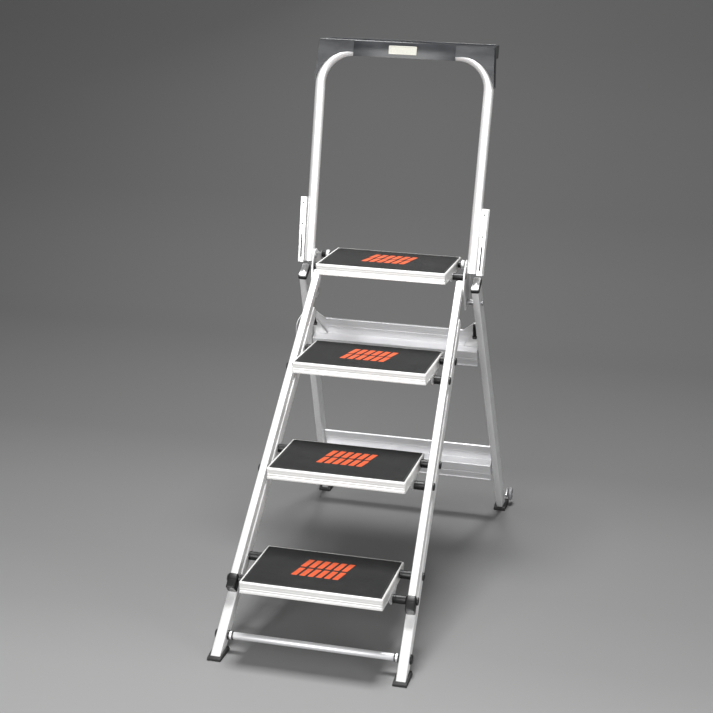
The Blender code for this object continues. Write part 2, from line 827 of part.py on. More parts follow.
# Side channels riveted outside the handrail's feet
CHANNEL_LOW = Vector((0.2618, 0.8160, 0.8760))
CHANNEL_HIGH = Vector((0.2652, 0.8470, 1.0620))
CHANNEL_W = 0.016
CHANNEL_D = 0.036
for side_name, side in SIDES:
    name = "hand_channel_" + side_name
    low = mirrored(CHANNEL_LOW, side)
    high = mirrored(CHANNEL_HIGH, side)
    channel = add(name, beam_mesh(name, low, high, CHANNEL_W, CHANNEL_D))
    shift = Vector((side * 0.003, 0.0, 0.0))
    gutter = cutter(
        "gutter_" + name,
        beam_mesh("gutter_" + name, low + shift, high + shift, CHANNEL_W, CHANNEL_D - 0.005, 0.02),
    )
    boolean(channel, gutter, "DIFFERENCE")
    hole = cutter(
        "hole_" + name,
        rod_mesh("hole_" + name, *HAND_PIVOT, side * 0.24, side * 0.29, 0.0040 + CLEAR),
    )
    boolean(channel, hole, "DIFFERENCE")
    finish(channel, "satin_aluminium", HAND_PIVOT)

    name = "hand_bolt_" + side_name
    channel_x = CHANNEL_LOW.x + (CHANNEL_HIGH.x - CHANNEL_LOW.x) * (
        (HAND_PIVOT_Z - CHANNEL_LOW.z) / (CHANNEL_HIGH.z - CHANNEL_LOW.z)
    )
    web_in = channel_x - CHANNEL_W / 2
    profile = (
        (side * (HEAD_IN - 0.0030), 0.0070),
        (side * (HEAD_IN - 0.0006), 0.0070),
        (side * (HEAD_IN - 0.0006), 0.0040),
        (side * (web_in + 0.0050), 0.0040),
        (side * (web_in + 0.0050), 0.0070),
        (side * (web_in + 0.0080), 0.0070),
    )
    bolt = add(name, turned_mesh(name, profile, *HAND_PIVOT))
    finish(bolt, "zinc_steel", HAND_PIVOT)

# Tool tray moulded around the top of the U
TRAY_HALF = 0.2612
TRAY_HALF_TOP = 0.2545
TRAY_TOP = 1.5090
TRAY_END_Z = 1.3940
TRAY_SLEEVE_LEFT = -0.1510
TRAY_SLEEVE_RIGHT = 0.1440
TRAY_SLEEVE_LOW = 1.4660
TRAY_FRONT = -0.0165
TRAY_BACK = 0.0165
TRAY_PAN_BACK = 0.0950
TRAY_WALL = 0.003


def face_prism(name, outline, y0, y1):
    """An outline of (x, z) points swept from y0 to y1 about the handrail's leaning plane."""
    mesh = bpy.data.meshes.new(name)
    bm = bmesh.new()
    ring = [bm.verts.new((x, y0, z)) for x, z in outline]
    face = bm.faces.new(ring)
    swept = bmesh.ops.extrude_face_region(bm, geom=[face])
    moved = [item for item in swept["geom"] if isinstance(item, bmesh.types.BMVert)]
    bmesh.ops.translate(bm, verts=moved, vec=(0.0, y1 - y0, 0.0))
    bmesh.ops.recalc_face_normals(bm, faces=bm.faces)
    for vert in bm.verts:
        vert.co.y += hand_y(vert.co.z)
    bm.to_mesh(mesh)
    bm.free()
    return place(mesh)


corner = HAND_HALF_HIGH - BEND_R
bend_z = HAND_TOP_Z - BEND_R
yoke = [
    (-TRAY_HALF, TRAY_END_Z),
    (-TRAY_HALF_TOP, TRAY_TOP),
    (TRAY_HALF_TOP, TRAY_TOP),
    (TRAY_HALF, TRAY_END_Z),
]
for step in range(1, 9):
    angle = math.pi / 2 * step / 8
    yoke.append((corner + BEND_R * math.cos(angle), bend_z + BEND_R * math.sin(angle)))
for step in range(8):
    angle = math.pi / 2 + math.pi / 2 * step / 8
    yoke.append((-corner + BEND_R * math.cos(angle), bend_z + BEND_R * math.sin(angle)))
tray = add("tool_tray", face_prism("tool_tray", yoke, -0.004, TRAY_BACK))
sleeve_outline = (
    (TRAY_SLEEVE_LEFT, TRAY_SLEEVE_LOW),
    (TRAY_SLEEVE_RIGHT, TRAY_SLEEVE_LOW),
    (TRAY_SLEEVE_RIGHT, TRAY_TOP - 0.0004),
    (TRAY_SLEEVE_LEFT, TRAY_TOP - 0.0004),
)
sleeve = cutter("tray_sleeve", face_prism("tray_sleeve", sleeve_outline, TRAY_FRONT, TRAY_BACK - 0.0004))
boolean(tray, sleeve, "UNION")
pan_outline = (
    (-TRAY_HALF_TOP + 0.004, TRAY_SLEEVE_LOW + 0.005),
    (TRAY_HALF_TOP - 0.004, TRAY_SLEEVE_LOW + 0.005),
    (TRAY_HALF_TOP - 0.004, TRAY_TOP - 0.0008),
    (-TRAY_HALF_TOP + 0.004, TRAY_TOP - 0.0008),
)
pan = cutter("tray_pan", face_prism("tray_pan", pan_outline, TRAY_BACK - 0.002, TRAY_PAN_BACK))
boolean(tray, pan, "UNION")
well_outline = (
    (-TRAY_HALF_TOP + 0.004 + TRAY_WALL, TRAY_SLEEVE_LOW + 0.005 + TRAY_WALL),
    (TRAY_HALF_TOP - 0.004 - TRAY_WALL, TRAY_SLEEVE_LOW + 0.005 + TRAY_WALL),
    (TRAY_HALF_TOP - 0.004 - TRAY_WALL, TRAY_TOP + 0.02),
    (-TRAY_HALF_TOP + 0.004 + TRAY_WALL, TRAY_TOP + 0.02),
)
well = cutter("tray_well", face_prism("tray_well", well_outline, TRAY_BACK + 0.001, TRAY_PAN_BACK - TRAY_WALL))
boolean(tray, well, "DIFFERENCE")
groove = cutter("tray_groove", tube_mesh("tray_groove", hand_path(), HAND_R + CLEAR, 2))
boolean(tray, groove, "DIFFERENCE")
finish(tray, "smoked_plastic", HAND_PIVOT)

plate_outline = ((-0.048, 1.4755), (0.033, 1.4755), (0.033, 1.4995), (-0.048, 1.4995))
plate = add("name_plate", face_prism("name_plate", plate_outline, TRAY_FRONT - 0.0013, TRAY_FRONT - 0.0003))
finish(plate, "blank_plate", HAND_PIVOT)
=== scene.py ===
"""Looks of the platform step ladder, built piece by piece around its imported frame.

Metres, +Z up, treads face -Y, floor at Z = 0, as in the frame.
"""

import math

import bmesh
import bpy
from mathutils import Matrix, Vector


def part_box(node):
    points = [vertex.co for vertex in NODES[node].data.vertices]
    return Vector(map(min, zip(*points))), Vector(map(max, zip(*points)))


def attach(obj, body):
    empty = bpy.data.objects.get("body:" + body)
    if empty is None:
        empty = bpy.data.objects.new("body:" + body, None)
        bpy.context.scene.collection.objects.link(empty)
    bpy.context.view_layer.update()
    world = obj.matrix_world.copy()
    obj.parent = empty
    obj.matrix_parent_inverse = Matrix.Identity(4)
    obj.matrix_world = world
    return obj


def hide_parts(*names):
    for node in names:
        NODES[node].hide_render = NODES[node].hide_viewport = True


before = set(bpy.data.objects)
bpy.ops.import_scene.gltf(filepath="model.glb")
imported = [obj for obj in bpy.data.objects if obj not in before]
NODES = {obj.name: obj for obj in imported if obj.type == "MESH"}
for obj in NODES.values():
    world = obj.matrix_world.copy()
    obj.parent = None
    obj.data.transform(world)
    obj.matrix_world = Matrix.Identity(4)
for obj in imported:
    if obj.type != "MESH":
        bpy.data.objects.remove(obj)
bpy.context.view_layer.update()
SIDES = (("left", -1), ("right", 1))
ORIGIN = Vector((0.0, 0.0, 0.0))
DOWN = Vector((0.0, 0.0, -1.0))

# The front rails' slope: rise and going from one tread to the next
SLOPE = math.atan2(0.229, 0.227)
ALONG = Vector((0.0, math.cos(SLOPE), math.sin(SLOPE)))
BEHIND = Vector((0.0, math.sin(SLOPE), -math.cos(SLOPE)))

# Widths across X and depths of the rails' and legs' sections, as the frame's own
UPPER_W, UPPER_D = 0.020, 0.026
LOWER_W, LOWER_D = 0.026, 0.036
LEG_W, LEG_D = 0.020, 0.050
RAIL_WALL = 0.0022
LEG_WALL = 0.0020

SOLE = 0.0055  # thickness of the rubber shoes under the rails and legs
TREAD_HALF = 0.1867  # half of a tread's width
LEG_DOWN = Vector((0.0, 0.5260, -0.8505)).normalized()  # along the rear legs
LEG_BACK = Vector((0.0, 0.8505, 0.5260)).normalized()  # square to them, to the rear

# The handrail: its tube, its bends, its lean to the rear for each metre of height
HAND_R = 0.0145
BEND_R = 0.095
HAND_LEAN = 0.198
HAND_FOOT_Z = 0.8810
HAND_FOOT_HALF = 0.2386


# ---------------------------------------------------------------- where things are
def middle(name):
    low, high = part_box(name)
    return (low + high) / 2


def node_corners(name):
    """The separate corner points of a frame node."""
    seen = {}
    for vert in NODES[name].data.vertices:
        seen[tuple(round(value, 5) for value in vert.co)] = vert.co.copy()
    return list(seen.values())


def end_centre(name, direction, reach=0.0015):
    """The middle of a node's end face on the side that direction points to."""
    corners = node_corners(name)
    far = max(corner.dot(direction) for corner in corners)
    ends = [corner for corner in corners if corner.dot(direction) > far - reach]
    total = Vector((0.0, 0.0, 0.0))
    for corner in ends:
        total += corner
    return total / len(ends)


def beam_axes(start, direction):
    """A placing whose Z runs along direction and whose X stays nearest to the world's X."""
    z_axis = direction.normalized()
    x_axis = Vector((1.0, 0.0, 0.0))
    x_axis = (x_axis - z_axis * x_axis.dot(z_axis)).normalized()
    y_axis = z_axis.cross(x_axis)
    return Matrix.Translation(start) @ Matrix((x_axis, y_axis, z_axis)).transposed().to_4x4()


# ---------------------------------------------------------------- finishes
SATIN_METAL = 0.5  # anodised and brushed, so half metal, half milky skin
ACROSS = (0.0, math.pi / 2, 0.0)  # turns an extrusion's die lines to run along X
LEVEL = (0.0, 0.0, 0.0)


class Finish:
    """One procedural material, with short calls for its nodes."""

    def __init__(self, name):
        self.material = bpy.data.materials.new(name)
        self.material.use_nodes = True
        self.tree = self.material.node_tree
        self.shader = self.tree.nodes["Principled BSDF"]
        self.place = self.node("ShaderNodeTexCoord").outputs["Object"]

    def node(self, kind, **values):
        made = self.tree.nodes.new(kind)
        for key, value in values.items():
            setattr(made, key, value)
        return made

    def join(self, source, target):
        self.tree.links.new(source, target)

    def feed(self, socket, source):
        """Leads a pattern to one of the shader's sockets."""
        self.join(source, self.shader.inputs[socket])

    def fix(self, socket, value):
        """Sets one of the shader's sockets to a plain value."""
        self.shader.inputs[socket].default_value = value

    def turned(self, source, angles, scale):
        """Turns the pattern's axes, then stretches it."""
        turn = self.node("ShaderNodeMapping")
        turn.inputs["Rotation"].default_value = angles
        self.join(source, turn.inputs["Vector"])
        stretch = self.node("ShaderNodeMapping")
        stretch.inputs["Scale"].default_value = scale
        self.join(turn.outputs["Vector"], stretch.inputs["Vector"])
        return stretch.outputs["Vector"]

    def noise(self, source, scale, detail=3.0, rough=0.55):
        made = self.node("ShaderNodeTexNoise")
        made.inputs["Scale"].default_value = scale
        made.inputs["Detail"].default_value = detail
        made.inputs["Roughness"].default_value = rough
        self.join(source, made.inputs["Vector"])
        return made.outputs["Fac"]

    def ramp(self, source, low, high, start=0.3, stop=0.7):
        """Carries a value between two colours."""
        made = self.node("ShaderNodeValToRGB")
        made.color_ramp.elements[0].position = start
        made.color_ramp.elements[0].color = (*low, 1.0)
        made.color_ramp.elements[1].position = stop
        made.color_ramp.elements[1].color = (*high, 1.0)
        self.join(source, made.inputs["Fac"])
        return made.outputs["Color"]

    def span(self, source, low, high, start=0.3, stop=0.7):
        """Carries a value from one range to another."""
        made = self.node("ShaderNodeMapRange")
        made.inputs["From Min"].default_value = start
        made.inputs["From Max"].default_value = stop
        made.inputs["To Min"].default_value = low
        made.inputs["To Max"].default_value = high
        self.join(source, made.inputs["Value"])
        return made.outputs["Result"]

    def mix(self, share, first, second):
        """Blends two colours by a value."""
        made = self.node("ShaderNodeMix", data_type="RGBA")
        self.join(share, made.inputs["Factor"])
        self.join(first, made.inputs["A"])
        self.join(second, made.inputs["B"])
        return made.outputs["Result"]

    def sum(self, first, second):
        made = self.node("ShaderNodeMath", operation="ADD")
        self.join(first, made.inputs[0])
        self.join(second, made.inputs[1])
        return made.outputs["Value"]

    def bump(self, height, distance, strength=1.0, after=None):
        made = self.node("ShaderNodeBump")
        made.inputs["Distance"].default_value = distance
        made.inputs["Strength"].default_value = strength
        self.join(height, made.inputs["Height"])
        if after is not None:
            self.join(after, made.inputs["Normal"])
        return made.outputs["Normal"]


def shade(colour, share):
    """The same colour, darker."""
    return tuple(value * share for value in colour)


def extruded_aluminium(name, angles, bright):
    """Satin extrusion: die lines along its length, faint clouding and handling marks."""
    finish = Finish(name)
    fine = finish.noise(finish.turned(finish.place, angles, (1400.0, 1400.0, 5.0)), 1.0, 2.0)
    broad = finish.noise(finish.turned(finish.place, angles, (260.0, 260.0, 1.6)), 1.0, 3.0)
    cloud = finish.noise(finish.place, 14.0, 4.0)
    marks = finish.noise(finish.turned(finish.place, (0.6, 0.4, 0.9), (35.0, 900.0, 900.0)), 1.0, 2.0)
    low = shade(bright, 0.90)
    tone = finish.ramp(broad, low, bright, 0.32, 0.62)
    dull = finish.ramp(cloud, shade(bright, 0.93), bright, 0.3, 0.6)
    colour = finish.mix(finish.span(fine, 0.25, 0.65), tone, dull)
    finish.feed("Base Color", colour)
    finish.fix("Metallic", SATIN_METAL)
    rough = finish.sum(finish.span(fine, 0.30, 0.44), finish.span(cloud, 0.0, 0.07))
    rough = finish.sum(rough, finish.span(marks, 0.0, 0.10, 0.62, 0.78))
    finish.feed("Roughness", rough)
    lines = finish.bump(fine, 0.00006, 0.6)
    lines = finish.bump(broad, 0.00012, 0.5, lines)
    finish.feed("Normal", lines)
    return finish.material


def sheet_aluminium(name, bright):
    """Stamped plate: rolling grain across it and soft clouding."""
    finish = Finish(name)
    grain = finish.noise(finish.turned(finish.place, LEVEL, (60.0, 1100.0, 1100.0)), 1.0, 3.0)
    cloud = finish.noise(finish.place, 22.0, 5.0)
    tone = finish.ramp(cloud, shade(bright, 0.90), bright, 0.3, 0.62)
    streak = finish.ramp(grain, shade(bright, 0.94), bright, 0.35, 0.6)
    finish.feed("Base Color", finish.mix(finish.span(grain, 0.3, 0.6), tone, streak))
    finish.fix("Metallic", SATIN_METAL)
    satin = finish.span(grain, 0.32, 0.45)
    finish.feed("Roughness", finish.sum(satin, finish.span(cloud, 0.0, 0.08)))
    finish.feed("Normal", finish.bump(grain, 0.00008, 0.5))
    return finish.material


def moulded_nylon(name, dark, light, rough):
    """Moulded plastic or rubber with a fine spark-eroded skin."""
    finish = Finish(name)
    grain = finish.noise(finish.place, 1600.0, 2.0, 0.6)
    cloud = finish.noise(finish.place, 60.0, 3.0)
    finish.feed("Base Color", finish.ramp(cloud, dark, light, 0.3, 0.75))
    skin = finish.span(grain, rough - 0.06, rough + 0.06)
    finish.feed("Roughness", finish.sum(skin, finish.span(cloud, 0.0, 0.06)))
    finish.feed("Normal", finish.bump(grain, 0.00009, 0.7))
    return finish.material


def ribbed_rubber(name):
    """Tread rubber: matt, slightly dusty on its ribs, with a pebbled skin."""
    finish = Finish(name)
    grain = finish.noise(finish.place, 900.0, 3.0, 0.7)
    dust = finish.noise(finish.place, 18.0, 5.0, 0.65)
    scuff = finish.noise(finish.turned(finish.place, (0.0, 0.0, 0.35), (18.0, 240.0, 60.0)), 1.0, 3.0)
    base = finish.ramp(dust, (0.016, 0.0165, 0.0165), (0.026, 0.0265, 0.026), 0.3, 0.7)
    worn = finish.ramp(grain, (0.024, 0.0245, 0.0245), (0.038, 0.0385, 0.038), 0.35, 0.7)
    finish.feed("Base Color", finish.mix(finish.span(scuff, 0.0, 0.55, 0.5, 0.75), base, worn))
    finish.feed("Roughness", finish.span(grain, 0.62, 0.84))
    finish.fix("Specular IOR Level", 0.35)
    finish.feed("Normal", finish.bump(grain, 0.00018, 0.8))
    return finish.material


def printed_orange(name):
    """Orange anti-slip print, a little worn through."""
    finish = Finish(name)
    wear = finish.noise(finish.place, 420.0, 4.0, 0.7)
    patch = finish.noise(finish.place, 40.0, 3.0)
    fresh = finish.ramp(patch, (0.50, 0.060, 0.008), (0.62, 0.085, 0.014), 0.3, 0.7)
    thin = finish.ramp(patch, (0.30, 0.035, 0.008), (0.44, 0.055, 0.012), 0.3, 0.7)
    finish.feed("Base Color", finish.mix(finish.span(wear, 0.0, 1.0, 0.58, 0.72), fresh, thin))
    finish.feed("Roughness", finish.span(wear, 0.52, 0.74))
    finish.feed("Normal", finish.bump(wear, 0.00012, 0.6))
    return finish.material


def smoked_gloss(name):
    """Smoke-grey moulded tray: glossy, with faint flow marks and dust."""
    finish = Finish(name)
    flow = finish.noise(finish.turned(finish.place, LEVEL, (9.0, 60.0, 26.0)), 1.0, 4.0)
    dust = finish.noise(finish.place, 700.0, 3.0, 0.7)
    finish.feed("Base Color", finish.ramp(flow, (0.016, 0.017, 0.019), (0.040, 0.042, 0.045), 0.32, 0.66))
    finish.feed("Roughness", finish.sum(finish.span(flow, 0.12, 0.22), finish.span(dust, 0.0, 0.08)))
    finish.fix("Specular IOR Level", 0.24)
    finish.feed("Normal", finish.bump(flow, 0.0004, 0.35))
    return finish.material


def plain_plate(name):
    """Off-white printed blank with a faint paper fleck."""
    finish = Finish(name)
    fleck = finish.noise(finish.place, 500.0, 4.0)
    finish.feed("Base Color", finish.ramp(fleck, (0.40, 0.395, 0.35), (0.52, 0.51, 0.455), 0.3, 0.65))
    finish.feed("Roughness", finish.span(fleck, 0.42, 0.58))
    finish.feed("Normal", finish.bump(fleck, 0.00005, 0.5))
    return finish.material


def zinc_plate(name, tone):
    """Zinc-plated steel with the patchy sheen of plating."""
    finish = Finish(name)
    spangle = finish.node("ShaderNodeTexVoronoi")
    spangle.inputs["Scale"].default_value = 380.0
    finish.join(finish.place, spangle.inputs["Vector"])
    cloud = finish.noise(finish.place, 90.0, 4.0)
    low = shade(tone, 0.72)
    first = finish.ramp(spangle.outputs["Distance"], low, tone, 0.1, 0.8)
    second = finish.ramp(cloud, low, tone, 0.3, 0.7)
    finish.feed("Base Color", finish.mix(finish.span(cloud, 0.3, 0.7), first, second))
    finish.fix("Metallic", 0.9)
    finish.feed("Roughness", finish.span(cloud, 0.26, 0.42))
    finish.feed("Normal", finish.bump(cloud, 0.0001, 0.4))
    return finish.material


RAIL_TURN = (SLOPE - math.pi / 2, 0.0, 0.0)
LEG_TURN = (math.radians(31.7), 0.0, 0.0)
# One aluminium in several tones: each extrusion's base is set to how bright that part shows under the
# lamps, so the lighter rails and tube are painted light and the darker treads, legs and bars are painted
# shade
SILVER_RAIL = extruded_aluminium("rail_extrusion", RAIL_TURN, (0.93, 0.93, 0.925))
SILVER_LEG = extruded_aluminium("leg_extrusion", LEG_TURN, (0.84, 0.84, 0.845))
SILVER_TREAD = extruded_aluminium("tread_extrusion", ACROSS, (0.86, 0.855, 0.84))
SILVER_BAR = extruded_aluminium("bar_extrusion", ACROSS, (0.84, 0.84, 0.855))
SILVER_TUBE = extruded_aluminium("tube_extrusion", LEVEL, (0.92, 0.92, 0.915))
SILVER_PLATE = sheet_aluminium("stamped_plate", (0.80, 0.80, 0.80))
NYLON = moulded_nylon("black_nylon", (0.0055, 0.0055, 0.006), (0.010, 0.010, 0.011), 0.40)
SHOE_RUBBER = moulded_nylon("shoe_rubber", (0.009, 0.009, 0.009), (0.018, 0.018, 0.018), 0.62)
MAT_RUBBER = ribbed_rubber("mat_rubber")
ORANGE = printed_orange("orange_print")
SMOKE = smoked_gloss("smoked_tray")
BLANK = plain_plate("blank_label")
ZINC = zinc_plate("zinc_steel_plated", (0.60, 0.60, 0.61))
WHEEL_GREY = moulded_nylon("wheel_grey", (0.20, 0.20, 0.21), (0.30, 0.30, 0.31), 0.5)

# The material slot that each finish belongs to
SLOT_FINISHES = {
    "satin_aluminium": (SILVER_RAIL, SILVER_LEG, SILVER_TREAD, SILVER_BAR, SILVER_TUBE, SILVER_PLATE),
    "black_plastic": (NYLON, SHOE_RUBBER),
    "tread_rubber": (MAT_RUBBER, ORANGE),
    "smoked_plastic": (SMOKE,),
    "blank_plate": (BLANK,),
    "zinc_steel": (ZINC,),
    "grey_plastic": (WHEEL_GREY,),
}
SLOT_OF = {finish.name: slot for slot, group in SLOT_FINISHES.items() for finish in group}


# ---------------------------------------------------------------- making tools
def loft(rings, closed=False):
    """Joins rings of equal count with faces; closed joins the last ring to the first."""
    bm = bmesh.new()
    made = [[bm.verts.new(point) for point in ring] for ring in rings]
    pairs = list(zip(made, made[1:]))
    if closed:
        pairs.append((made[-1], made[0]))
    count = len(made[0])
    for first, second in pairs:
        for step in range(count):
            after = (step + 1) % count
            bm.faces.new((first[step], first[after], second[after], second[step]))
    if not closed:
        bm.faces.new(list(reversed(made[0])))
        bm.faces.new(made[-1])
    return bm


def section(width, depth, radius, grooves=(), cut=0.0, steps=4):
    """A rounded rectangle, anticlockwise, with optional long grooves in its two X faces."""
    half_w = width / 2
    half_d = depth / 2
    points = []

    def corner(x, y, first):
        for step in range(steps + 1):
            angle = first + math.pi / 2 * step / steps
            points.append((x + radius * math.cos(angle), y + radius * math.sin(angle)))

    def groove(x, y, inward, rising):
        half = 0.0011  # of the groove's width at its mouth
        lip = 0.0004  # how much narrower each side is at the bottom
        sign = 1 if rising else -1
        points.append((x, y - sign * half))
        points.append((x + inward * cut, y - sign * (half - lip)))
        points.append((x + inward * cut, y + sign * (half - lip)))
        points.append((x, y + sign * half))

    corner(half_w - radius, -half_d + radius, -math.pi / 2)
    for y in sorted(grooves):
        groove(half_w, y, -1, True)
    corner(half_w - radius, half_d - radius, 0.0)
    corner(-half_w + radius, half_d - radius, math.pi / 2)
    for y in sorted(grooves, reverse=True):
        groove(-half_w, y, 1, False)
    corner(-half_w + radius, -half_d + radius, math.pi)
    return points


def placed(matrix, outline, height):
    """The outline at a height along the matrix's Z."""
    return [matrix @ Vector((x, y, height)) for x, y in outline]


def levelled(matrix, outline, level):
    """The outline carried along the beam until each point reaches a level above the floor."""
    points = []
    axis = (matrix.to_3x3() @ Vector((0.0, 0.0, 1.0))).normalized()
    for x, y in outline:
        point = matrix @ Vector((x, y, 0.0))
        points.append(point + axis * ((level - point.z) / axis.z))
    return points


def hollow_bar(matrix, length, outer, inner, level=None):
    """An open-ended extrusion; with level its starting end is cut parallel to the floor."""
    first = levelled if level is not None else placed
    start = level if level is not None else 0.0
    rings = [
        first(matrix, outer, start),
        placed(matrix, outer, length),
        placed(matrix, inner, length),
        first(matrix, inner, start),
    ]
    return loft(rings, closed=True)


def stack(matrix, levels, closed=False, steps=4):
    """A body through rounded rectangles, each given as (height, width, depth, radius)."""
    rings = [placed(matrix, section(w, d, r, steps=steps), height) for height, w, d, r in levels]
    return loft(rings, closed)


def upright(levels, steps=1):
    """A stack that stands on the origin, ready to be repeated."""
    return stack(Matrix.Identity(4), levels, steps=steps)


def turned(centre, profile, segments=40, closed=False):
    """A turned body along X through (x, radius) pairs, measured from the centre."""
    rings = []
    for x, radius in profile:
        ring = []
        for step in range(segments):
            angle = 2 * math.pi * step / segments
            ring.append(centre + Vector((x, radius * math.cos(angle), radius * math.sin(angle))))
        rings.append(ring)
    return loft(rings, closed)


def turned_out(side, spot, profile, segments=40):
    """A turned body on one side, through (distance from the middle plane, radius) pairs."""
    centre = Vector((0.0, spot.y, spot.z))
    return turned(centre, [(side * x, radius) for x, radius in profile], segments)


def rounded(outline, radius, steps=3):
    """Rounds the corners of a flat outline; radius is one size or one for each corner."""
    count = len(outline)
    points = []
    for index in range(count):
        here = Vector(outline[index])
        before = Vector(outline[index - 1])
        after = Vector(outline[(index + 1) % count])
        size = radius[index] if isinstance(radius, (list, tuple)) else radius
        to_before = before - here
        to_after = after - here
        turn = to_before.angle(to_after)
        if size <= 0.0 or turn > math.radians(176):
            points.append(tuple(here))
            continue
        reach = min(size / math.tan(turn / 2), to_before.length * 0.48, to_after.length * 0.48)
        first = here + to_before.normalized() * reach
        second = here + to_after.normalized() * reach
        for step in range(steps + 1):
            share = step / steps
            point = first * (1 - share) ** 2 + here * 2 * share * (1 - share) + second * share**2
            points.append(tuple(point))
    return points


def side_plate(outline, x0, x1, edge=0.0004):
    """A plate lying across X, from a (y, z) outline, with its edges eased."""
    low, high = min(x0, x1), max(x0, x1)
    centre_y = sum(point[0] for point in outline) / len(outline)
    centre_z = sum(point[1] for point in outline) / len(outline)

    def ring(x, inset):
        points = []
        for y, z in outline:
            away = Vector((y - centre_y, z - centre_z))
            pull = inset / max(away.length, 0.001)
            points.append(Vector((x, y - away.x * pull, z - away.y * pull)))
        return points

    return loft([ring(low, edge), ring(low + edge, 0.0), ring(high - edge, 0.0), ring(high, edge)])


def soften(bm, width, angle=30.0, segments=2):
    """Rounds every edge that turns by more than an angle."""
    sharp = [e for e in bm.edges if len(e.link_faces) == 2 and e.calc_face_angle(0.0) > math.radians(angle)]
    bmesh.ops.bevel(
        bm,
        geom=sharp,
        offset=width,
        offset_type="OFFSET",
        segments=segments,
        profile=0.5,
        affect="EDGES",
        clamp_overlap=True,
    )
    return bm


def as_object(bm, name="making"):
    """The bmesh as an object in the scene, its faces pointing outwards."""
    mesh = bpy.data.meshes.new(name)
    bmesh.ops.recalc_face_normals(bm, faces=bm.faces[:])
    bm.to_mesh(mesh)
    bm.free()
    obj = bpy.data.objects.new(name, mesh)
    bpy.context.scene.collection.objects.link(obj)
    return obj


def taken_back(obj):
    """The object's finished shape as a new bmesh; the object goes."""
    shape = bpy.context.evaluated_depsgraph_get()
    mesh = bpy.data.meshes.new_from_object(obj.evaluated_get(shape))
    bm = bmesh.new()
    bm.from_mesh(mesh)
    old = obj.data
    bpy.data.objects.remove(obj, do_unlink=True)
    bpy.data.meshes.remove(old)
    bpy.data.meshes.remove(mesh)
    return bm


def carve(bm, tool):
    """Cuts one closed body with another."""
    body = as_object(bm)
    other = as_object(tool, "tool")
    cut = body.modifiers.new("carve", "BOOLEAN")
    cut.operation = "DIFFERENCE"
    cut.solver = "EXACT"
    cut.object = other
    bpy.context.view_layer.update()
    result = taken_back(body)
    bpy.data.objects.remove(other, do_unlink=True)
    return result


def eased_copy(name, width=0.0006, segments=2):
    """A frame node's own shape with its edges rounded over."""
    bm = bmesh.new()
    bm.from_mesh(NODES[name].data)
    bmesh.ops.remove_doubles(bm, verts=bm.verts, dist=0.00002)
    bmesh.ops.dissolve_limit(bm, angle_limit=math.radians(1.0), verts=bm.verts, edges=bm.edges)
    bmesh.ops.recalc_face_normals(bm, faces=bm.faces[:])
    return soften(bm, width, 34.0, segments)


def piece(name, bm, finish, body, stands_for=(), crease=38.0):
    """Turns a bmesh into a finished piece that rides on a body."""
    obj = as_object(bm, name)
    mesh = obj.data
    mesh.materials.clear()
    mesh.materials.append(finish)
    mesh.shade_smooth()
    mesh.set_sharp_from_angle(angle=math.radians(crease))
    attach(obj, body)
    if stands_for:
        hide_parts(*stands_for)
    return obj


# ---------------------------------------------------------------- repeated shapes
def repeat_tree():
    """Geometry nodes that repeat the shape they are given, in a row or round the X axis."""
    tree = bpy.data.node_groups.new("repeat_in_a_line", "GeometryNodeTree")
    sockets = (
        ("Shape", "INPUT", "Geometry"),
        ("Count", "INPUT", "Int"),
        ("Start", "INPUT", "Vector"),
        ("Step", "INPUT", "Vector"),
        ("Turn", "INPUT", "Vector"),
        ("Finish", "INPUT", "Material"),
        ("Shape", "OUTPUT", "Geometry"),
    )
    for name, way, kind in sockets:
        tree.interface.new_socket(name, in_out=way, socket_type="NodeSocket" + kind)
    nodes = tree.nodes
    links = tree.links
    given = nodes.new("NodeGroupInput")
    result = nodes.new("NodeGroupOutput")
    line = nodes.new("GeometryNodeMeshLine")
    line.mode = "OFFSET"
    links.new(given.outputs["Count"], line.inputs["Count"])
    links.new(given.outputs["Start"], line.inputs["Start Location"])
    links.new(given.outputs["Step"], line.inputs["Offset"])
    scatter = nodes.new("GeometryNodeInstanceOnPoints")
    links.new(line.outputs["Mesh"], scatter.inputs["Points"])
    links.new(given.outputs["Shape"], scatter.inputs["Instance"])
    index = nodes.new("GeometryNodeInputIndex")
    angles = nodes.new("ShaderNodeVectorMath")
    angles.operation = "SCALE"
    links.new(given.outputs["Turn"], angles.inputs[0])
    links.new(index.outputs["Index"], angles.inputs["Scale"])
    turn = nodes.new("FunctionNodeEulerToRotation")
    links.new(angles.outputs["Vector"], turn.inputs[0])
    links.new(turn.outputs[0], scatter.inputs["Rotation"])
    real = nodes.new("GeometryNodeRealizeInstances")
    links.new(scatter.outputs["Instances"], real.inputs["Geometry"])
    paint = nodes.new("GeometryNodeSetMaterial")
    links.new(real.outputs["Geometry"], paint.inputs["Geometry"])
    links.new(given.outputs["Finish"], paint.inputs["Material"])
    links.new(paint.outputs["Geometry"], result.inputs["Shape"])
    return tree


REPEAT = repeat_tree()


def repeated(bm, count, start, step=ORIGIN, turn=ORIGIN, *, finish):
    """The bmesh of count copies of a shape, each moved by step and turned by turn from the last."""
    obj = as_object(bm, "repeat")
    grow = obj.modifiers.new("repeat", "NODES")
    grow.node_group = REPEAT
    values = {"Count": count, "Start": tuple(start), "Step": tuple(step), "Turn": tuple(turn)}
    values["Finish"] = finish
    for socket in REPEAT.interface.items_tree:
        if socket.in_out == "INPUT" and socket.name in values:
            grow[socket.identifier] = values[socket.name]
    bpy.context.view_layer.update()
    return taken_back(obj)


def merged(*shapes):
    """Several bmeshes as one."""
    whole = bmesh.new()
    for shape in shapes:
        mesh = bpy.data.meshes.new("part")
        shape.to_mesh(mesh)
        shape.free()
        whole.from_mesh(mesh)
        bpy.data.meshes.remove(mesh)
    return whole


